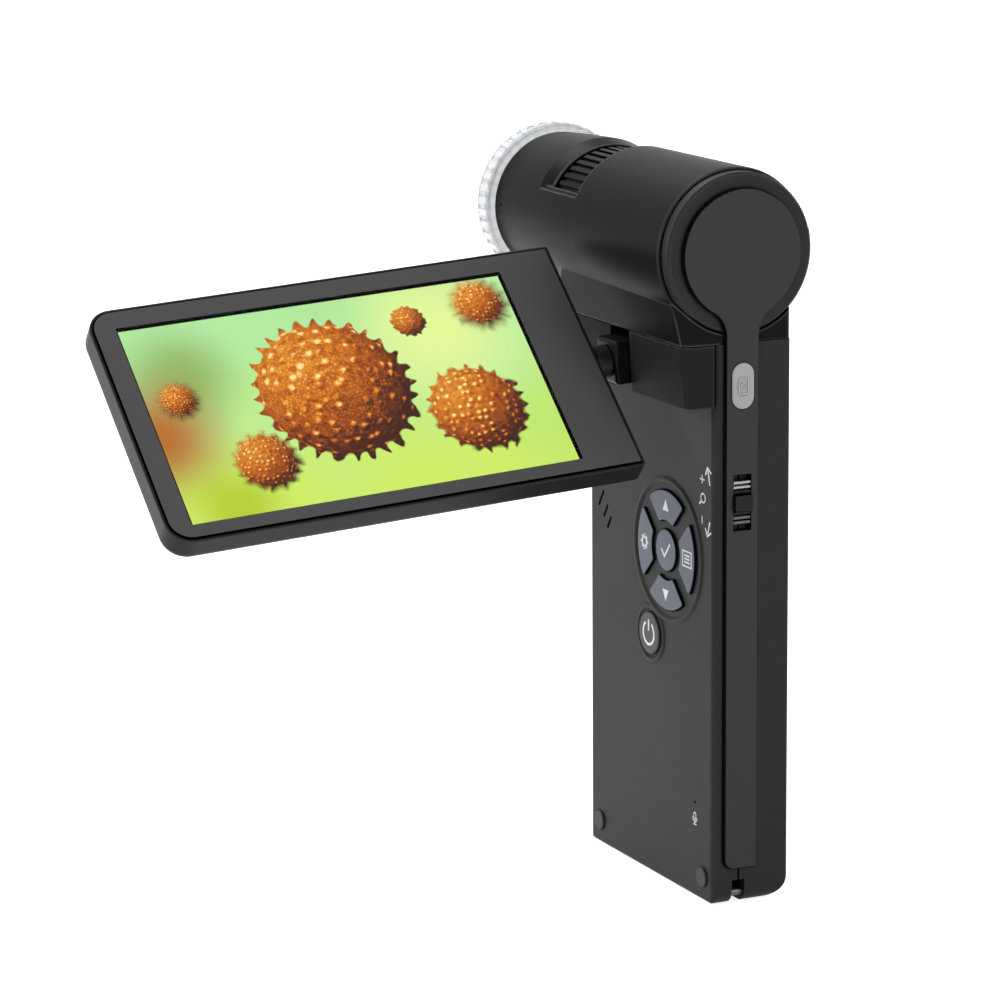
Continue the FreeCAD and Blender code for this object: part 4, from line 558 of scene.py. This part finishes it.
# The side strip: one long smooth black trim, a disc at its top over the barrel's end.
# It is snapped into its channel in the narrow face.
strip_plastic = moulded("strip_plastic", (0.032, 0.032, 0.0325), 0.45)
tree = strip_plastic.node_tree
# Painted shade: the strip's side walls are dimmed, as if in shadow.
rim_shaded((1, 0, 0), 0.1)
dress(strip_plastic, "side_strip")

# The picture button: light grey plastic, with a small camera raised on it by the tool.
BUTTON_GREY = (0.39, 0.39, 0.395)
dress(moulded("button_plastic", BUTTON_GREY, 0.4, drift=0.03, specular=0.4), "shutter_button")
button_low, button_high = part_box("shutter_button")
BUTTON_FACE_X = 1000 * button_high[0]
BUTTON_Y = 500 * (button_low[1] + button_high[1])
BUTTON_Z = 500 * (button_low[2] + button_high[2])


def on_button(across, up, rise):
    """On the picture button's face, which looks along +X."""
    return np.stack((BUTTON_FACE_X + rise, BUTTON_Y + across, BUTTON_Z + up), -1)


raised_grey = moulded("raised_grey", (0.5, 0.5, 0.505), 0.35, drift=0.03, specular=0.5)
printed("camera_sign", "shutter_button", raised_grey, on_button,
        [line([(-1.35, -2.1), (1.35, -2.1), (1.35, 2.1), (-1.35, 2.1)], 0.3, True),
         line(ring((0, 0), 0.8, 28), 0.28, True),
         line([(-1.75, -0.9), (-1.75, 0.9)], 0.28),
         line([(-0.8, -2.75), (0.8, -2.75)], 0.25)], height=0.12)

# The zoom slider: hard glossy black plastic, with ribs and a raised pad for the thumb.
# It slides in its slot on a neck through the wall, and springs back to the middle.
# The ribs above the thumb pad lean up and those below it lean down, by their normals.
RIB_LEAN = 0.36
PAD_EDGE, RIBS_START = 0.003, 0.0042
KEEN_LEAST = 0.15
slider_plastic = moulded("slider_plastic", (0.006, 0.006, 0.0062), 0.18, specular=1.0, edge=0.0003)
tree = slider_plastic.node_tree
shader = tree.nodes["Principled BSDF"]
slider_low, slider_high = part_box("zoom_slider")
above = calc("SUBTRACT", axes_of(coordinates())[2], (slider_low[2] + slider_high[2]) / 2)
lean = calc("SUBTRACT", ramp_between(above, PAD_EDGE, RIBS_START),
            ramp_between(above, -PAD_EDGE, -RIBS_START))
leaning = tree.nodes.new("ShaderNodeCombineXYZ")
tree.links.new(calc("MULTIPLY", lean, RIB_LEAN), leaning.inputs[2])
straight = tree.nodes["Bump"].outputs["Normal"]
tree.links.new(vector_calc("NORMALIZE", vector_calc("ADD", straight, leaning.outputs[0])),
               shader.inputs["Normal"])
keen = calc("ADD", calc("MULTIPLY", calc("ABSOLUTE", lean), 1.0 - KEEN_LEAST), KEEN_LEAST)
tree.links.new(calc("MULTIPLY", tree.nodes["sheen with painted gap shade"].outputs[0], keen),
               shader.inputs["Specular IOR Level"])
dress(slider_plastic, "zoom_slider")

# The head housing: the same black plastic, moulded in one piece with its neck, with the
# bevelled finger window cut through its top, and two small screws for the lens tube.
dress(moulded("head_plastic", (0.0065, 0.0065, 0.0067), 0.36, grain=0.0003, specular=0.042,
              edge=0.0009, edge_highlight=0.09, highlight_full=0.95),
      "head_housing")
dress(metal("grub_steel", (0.35, 0.35, 0.36), 0.3), "grub_screws")

# The focus wheel: a ribbed ring of glossier black plastic that turns on the lens tube.
dress(moulded("wheel_plastic", (0.0025, 0.0025, 0.0026), 0.32, specular=0.05,
              edge=0.00015, edge_highlight=0.02),
      "focus_wheel")

# The optics: a black turned tube with the lens in a carriage, the front pane, and a
# ring of light diodes behind the clear cap.
WAVE_SCALE = 300
CLOUD_SPREAD = 0.04
dress(moulded("tube_plastic", (0.008, 0.008, 0.0085), 0.5),
      "end_plate", "lens_tube", "lens_carriage")
dress(moulded("diode_resin", (0.85, 0.83, 0.7), 0.2, drift=0.03, specular=0.5), "light_diodes")


def clear(name, colour, roughness, ior, through):
    """Clear or cloudy moulding: the faintest waviness, and cloudiness that comes and goes."""
    made, tree, shader = material(name)
    place = tree.nodes.new("ShaderNodeTexCoord")
    wave = tree.nodes.new("ShaderNodeTexNoise")
    wave.inputs["Scale"].default_value = WAVE_SCALE
    tree.links.new(place.outputs["Object"], wave.inputs["Vector"])
    cloud = tree.nodes.new("ShaderNodeMapRange")
    cloud.inputs["To Min"].default_value = max(roughness - CLOUD_SPREAD, 0)
    cloud.inputs["To Max"].default_value = roughness
    tree.links.new(wave.outputs["Fac"], cloud.inputs["Value"])
    tree.links.new(cloud.outputs[0], shader.inputs["Roughness"])
    shader.inputs["Base Color"].default_value = (*colour, 1)
    shader.inputs["Transmission Weight"].default_value = through
    shader.inputs["IOR"].default_value = ior
    return made


dress(clear("lens_glass", (0.85, 0.92, 0.95), 0.03, 1.52, 1.0), "objective_lens", "front_glass")

# The clear cap: a fluted ring of clear plastic, slightly cloudy, pushed into the nose.
# It holds the lens at its distance from the specimen and spreads the diodes' light.
# Its outside, its forty flutes and its rim are drawn darker than the rest, as painted shade.
CAP_FLUTES = 40
CAP_PALE, CAP_SHADED = (0.90, 0.91, 0.92, 1), (0.60, 0.62, 0.64, 1)
FLUTE_SHADE, SKIN_SHADE = 0.3, 0.45
SHADE_START, RIM_END, SKIN_END = 0.0014, 0.0005, 0.0007
cap_clear = clear("cap_clear", CAP_PALE[:3], 0.18, 1.42, 0.62)
tree = cap_clear.node_tree
shader = tree.nodes["Principled BSDF"]
cap_low, cap_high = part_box("clear_cap")
cap_centre = Vector([(a + b) / 2 for a, b in zip(cap_low, cap_high)])
along_axis, across_y, across_z = axes_of(vector_calc("SUBTRACT", coordinates(), cap_centre))
turn_angle = calc("ARCTAN2", across_y, across_z)
in_flute = ramp_between(calc("COSINE", calc("MULTIPLY", turn_angle, CAP_FLUTES)), -0.3, 0.95)
cap_half = (cap_high[0] - cap_low[0]) / 2
at_rim = ramp_between(along_axis, SHADE_START - cap_half, RIM_END - cap_half)
cap_radius = (cap_high[1] - cap_low[1]) / 2
from_axis = calc("SQRT", calc("ADD", calc("MULTIPLY", across_y, across_y),
                              calc("MULTIPLY", across_z, across_z)))
outside = ramp_between(from_axis, cap_radius - SHADE_START, cap_radius - SKIN_END)
# Painted shade: the flutes, the outer skin and the rim are drawn darker.
in_shade = calc("ADD", calc("MULTIPLY", in_flute, FLUTE_SHADE),
                calc("MULTIPLY", outside, SKIN_SHADE))
cap_shade = calc("MAXIMUM", in_shade, at_rim)
tree.links.new(blended(CAP_PALE, CAP_SHADED, cap_shade), shader.inputs["Base Color"])
dress(cap_clear, "clear_cap")

# The brightness dial: a thin black wheel of moulded plastic between the housing and the
# disc. It turns on the end plate's hub, and a patch of fine ribs gives the thumb a hold.
dress(moulded("dial_plastic", (0.024, 0.024, 0.0245), 0.38, specular=0.1,
              edge=0.0004, edge_highlight=0.06),
      "brightness_dial")

# The hinge: a black block on the casing holds the fold pin, and a plastic knuckle on it
# carries the dark steel shaft that the screen swivels on.
dress(moulded("hinge_plastic", (0.02, 0.02, 0.0202), 0.42, specular=0.02,
              edge=0.0006, edge_highlight=0.08),
      "hinge_housing")
dress(moulded("knuckle_plastic", (0.008, 0.008, 0.008), 0.34, specular=0.08,
              edge=0.0004, edge_highlight=0.06),
      "hinge_knuckle")
dress(metal("hinge_steel", (0.05, 0.05, 0.052), 0.4), "fold_pin", "swivel_shaft")

# The screen's shell: a rounded black tray and a flat frame, clipped together round the
# panel, with a fine groove between the two.
dress(moulded("screen_plastic", (0.012, 0.012, 0.0123), 0.36, specular=0.1,
              edge=0.0006, edge_highlight=0.05),
      "screen_cover")
SCREEN_DROOP = math.radians(3.5)
SCREEN_TURN = math.radians(44)
HINGE_CENTRE = Vector((0, -18.5, 147.4))
screen_out = Vector((0, -math.cos(SCREEN_DROOP), -math.sin(SCREEN_DROOP)))
screen_level = Vector((0, -math.sin(SCREEN_DROOP), math.cos(SCREEN_DROOP)))
screen_face = screen_level * math.cos(SCREEN_TURN) + Vector((1, 0, 0)) * math.sin(SCREEN_TURN)
screen_across = Vector((1, 0, 0)) * math.cos(SCREEN_TURN) - screen_level * math.sin(SCREEN_TURN)
BEZEL_MIDDLE, BEZEL_HALF_LENGTH, BEZEL_HALF_WIDTH = 79.0, 67.2, 36.7
BEZEL_FREE_CORNER, BEZEL_HINGE_CORNER = 6.2, 0.3
SEAM_WIDTH, SEAM_FADE = 0.25, 0.2
bezel_plastic = moulded("bezel_plastic", (0.062, 0.062, 0.063), 0.42, specular=0.2)
tree = bezel_plastic.node_tree

# The seam: the distance to the frame's own rounded outline, darkened with painted shade
# along its last few tenths of a millimetre, where the frame dips into the tray.
from_hinge = vector_calc("SCALE", vector_calc("SUBTRACT", coordinates(), HINGE_CENTRE / 1000),
                         1000)
beside_middle = calc("SUBTRACT", vector_calc("DOT_PRODUCT", from_hinge, screen_out), BEZEL_MIDDLE)
beside_shaft = vector_calc("DOT_PRODUCT", from_hinge, screen_across)
at_free_end = calc("GREATER_THAN", beside_middle, 0.0)
corner = calc("ADD", calc("MULTIPLY", at_free_end, BEZEL_FREE_CORNER - BEZEL_HINGE_CORNER),
              BEZEL_HINGE_CORNER)
past_length, past_width = (
    calc("ADD", calc("SUBTRACT", calc("ABSOLUTE", aside), half), corner)
    for aside, half in ((beside_middle, BEZEL_HALF_LENGTH), (beside_shaft, BEZEL_HALF_WIDTH)))
rounded = calc("SQRT", calc("ADD", calc("POWER", calc("MAXIMUM", past_length, 0.0), 2.0),
                            calc("POWER", calc("MAXIMUM", past_width, 0.0), 2.0)))
inner = calc("MINIMUM", calc("MAXIMUM", past_length, past_width), 0.0)
from_edge = calc("SUBTRACT", calc("ADD", rounded, inner), corner)
dimmed(ramp_between(from_edge, -SEAM_WIDTH, -SEAM_WIDTH - SEAM_FADE))
dress(bezel_plastic, "screen_bezel")

# The display: a liquid crystal panel, 110.7 by 62.3 mm, lit from behind, under a clear
# pane. It shows an enlarged view of amber pollen grains on a soft green ground.
PICTURE_LEFT, PICTURE_BOTTOM, PICTURE_HEIGHT_N = 139.4, 31.95, 3.75
picture_corner = (HINGE_CENTRE + screen_out * PICTURE_LEFT + screen_across * PICTURE_BOTTOM
                  + screen_face * PICTURE_HEIGHT_N) / 1000
panel_lit, tree, shader = material("panel_lit")
from_corner = vector_calc("SCALE", vector_calc("SUBTRACT", coordinates(), picture_corner), 1000)
along = vector_calc("DOT_PRODUCT", from_corner, -screen_out)
upward = vector_calc("DOT_PRODUCT", from_corner, -screen_across)
height = vector_calc("DOT_PRODUCT", from_corner, screen_face)
flat = tree.nodes.new("ShaderNodeCombineXYZ")
tree.links.new(along, flat.inputs[0])
tree.links.new(upward, flat.inputs[1])
on_picture = flat.outputs[0]


def shade_of(red, green, blue):
    """A screen colour in 0 to 255 as the linear colour that the nodes take."""
    return tuple(((c / 255 + 0.055) / 1.055) ** 2.4 for c in (red, green, blue)) + (1,)


# The soft ground: mint above, lime and yellow below, with blurred leaves out of focus.
# A blur is its place and reach in mm, its colour and its strength.
BLURS = (((12, 45), 22, (136, 158, 62), 0.75),
         ((0, 27), 26, (182, 98, 20), 0.95),
         ((14, 3), 18, (178, 200, 26), 0.85),
         ((112, 12), 26, (186, 230, 104), 0.8),
         ((58, 60), 17, (176, 230, 150), 0.6))
drift = tree.nodes.new("ShaderNodeTexNoise")
drift.inputs["Scale"].default_value = 0.035
drift.inputs["Detail"].default_value = 1
tree.links.new(on_picture, drift.inputs["Vector"])
slope = calc("ADD", calc("MULTIPLY", upward, 0.013), calc("MULTIPLY", drift.outputs["Fac"], 0.55))
ground = blended(shade_of(206, 236, 98), shade_of(176, 234, 160), ramp_between(slope, 0.25, 0.95))
ground = blended(ground, shade_of(226, 246, 150), ramp_between(
    vector_calc("DISTANCE", on_picture, Vector((86, 48, 0))), 34, 4))
for spot, reach, colour, strength in BLURS:
    near = ramp_between(vector_calc("DISTANCE", on_picture, Vector((*spot, 0))), reach, 2)
    ground = blended(ground, shade_of(*colour), calc("MULTIPLY", near, strength))

# The grains, from the farthest to the nearest: centre and radius in mm, softness of the
# edge, number of spikes, and a shift that gives each grain a surface of its own.
GRAINS = (((102, 54), 8.0, 0.3, 14, (3.1, 0.4, 2.2)),
          ((9, 38), 5.5, 0.34, 12, (0.3, 5.4, 1.2)),
          ((26, 15), 9.0, 0.14, 16, (7.3, 2.4, 0.2)),
          ((89, 21), 14.0, 0.04, 20, (1.7, 8.2, 4.1)),
          ((52, 34), 22.5, 0.016, 28, (5.2, 1.1, 6.3)),
          ((80, 52), 5.0, 0.05, 14, (9.1, 4.6, 3.3)))
POLLEN_SHADES = ((0.08, (58, 20, 4)), (0.28, (142, 62, 8)), (0.50, (204, 108, 14)),
                 (0.72, (238, 160, 44)), (0.98, (255, 226, 150)))
LIGHT_FROM = Vector((-0.42, 0.55, 0.72))
SPIKE_TOWARDS, SPIKE_STEP = Vector((-0.6, 0.75, 0.3)), 0.055


def grain_of_pollen(below, centre, radius, soft, spikes, shift):
    """A round grain with short spikes: a ball lit from the upper left, whose height is the
    root of one minus the squared distance from its centre, with cells for the spikes that
    point at the viewer, and an edge that rises and falls with the angle."""
    from_centre = vector_calc("SUBTRACT", on_picture, Vector((*centre, 0)))
    offset = vector_calc("SCALE", from_centre, 1 / radius)
    reach = vector_calc("LENGTH", offset)
    parts = axes_of(offset)
    angle = calc("ARCTAN2", parts[1], parts[0])
    bend = tree.nodes.new("ShaderNodeTexNoise")
    bend.inputs["Scale"].default_value = 2.5
    tree.links.new(vector_calc("ADD", offset, Vector(shift)), bend.inputs["Vector"])
    turned = calc("ADD", calc("MULTIPLY", angle, spikes / 2),
                  calc("MULTIPLY", bend.outputs["Fac"], 5))
    spike = calc("POWER", calc("ABSOLUTE", calc("SINE", turned)), 3.5)
    tall = calc("MULTIPLY", calc("MULTIPLY", spike, bend.outputs["Fac"]), 0.22)
    inside = ramp_between(calc("SUBTRACT", reach, tall), 0.93 + soft, 0.93 - soft)
    depth_squared = calc("SUBTRACT", 1.0, calc("MULTIPLY", reach, reach))
    depth = calc("SQRT", calc("MAXIMUM", depth_squared, 0.0))
    ball = tree.nodes.new("ShaderNodeCombineXYZ")
    for socket, value in zip(ball.inputs, (parts[0], parts[1], depth)):
        tree.links.new(value, socket)
    cones = []
    for step in (0.0, SPIKE_STEP):
        cells = tree.nodes.new("ShaderNodeTexVoronoi")
        cells.inputs["Scale"].default_value = 6.2
        cells.inputs["Randomness"].default_value = 0.6
        towards = Vector(shift) + SPIKE_TOWARDS * step
        tree.links.new(vector_calc("ADD", ball.outputs[0], towards), cells.inputs["Vector"])
        cones.append(ramp_between(cells.outputs["Distance"], 0.46, 0.0))
    relief = calc("MAXIMUM", calc("SUBTRACT", cones[0], cones[1]), -0.16)
    dust = tree.nodes.new("ShaderNodeTexNoise")
    dust.inputs["Scale"].default_value = 11
    dust.inputs["Detail"].default_value = 8
    dust.inputs["Roughness"].default_value = 0.68
    tree.links.new(ball.outputs[0], dust.inputs["Vector"])
    light = vector_calc("DOT_PRODUCT", ball.outputs[0], LIGHT_FROM)
    mesh_cells = tree.nodes.new("ShaderNodeTexVoronoi")
    mesh_cells.feature = "DISTANCE_TO_EDGE"
    mesh_cells.inputs["Scale"].default_value = 21
    tree.links.new(vector_calc("ADD", ball.outputs[0], Vector(shift)), mesh_cells.inputs["Vector"])
    tone = calc("ADD", calc("MULTIPLY", light, 0.52), calc("MULTIPLY", cones[0], 0.12))
    tone = calc("ADD", tone, calc("MULTIPLY", relief, 0.6))
    tone = calc("ADD", tone, calc("MULTIPLY", calc("SUBTRACT", dust.outputs["Fac"], 0.5), 0.75))
    between_cells = ramp_between(mesh_cells.outputs["Distance"], 0.0, 0.3)
    tone = calc("ADD", tone, calc("MULTIPLY", between_cells, 0.22))
    colours = tree.nodes.new("ShaderNodeValToRGB")
    while len(colours.color_ramp.elements) < len(POLLEN_SHADES):
        colours.color_ramp.elements.new(0.5)
    for element, (position, colour) in zip(colours.color_ramp.elements, POLLEN_SHADES):
        element.position = position
        element.color = shade_of(*colour)
    tree.links.new(tone, colours.inputs[0])
    return blended(below, colours.outputs[0], inside)


picture = ground
for centre, radius, soft, spikes, shift in GRAINS:
    picture = grain_of_pollen(picture, centre, radius, soft, spikes, shift)
lit = ramp_between(height, -0.2, -0.1)
shader.inputs["Base Color"].default_value = (0.004, 0.004, 0.004, 1)
shader.inputs["Roughness"].default_value = 0.3
shader.inputs["Specular IOR Level"].default_value = 0.08
tree.links.new(picture, shader.inputs["Emission Color"])
tree.links.new(lit, shader.inputs["Emission Strength"])
dress(panel_lit, "display_module")
dress(clear("window_clear", (1, 1, 1), 0.16, 1.12, 1.0), "screen_window")
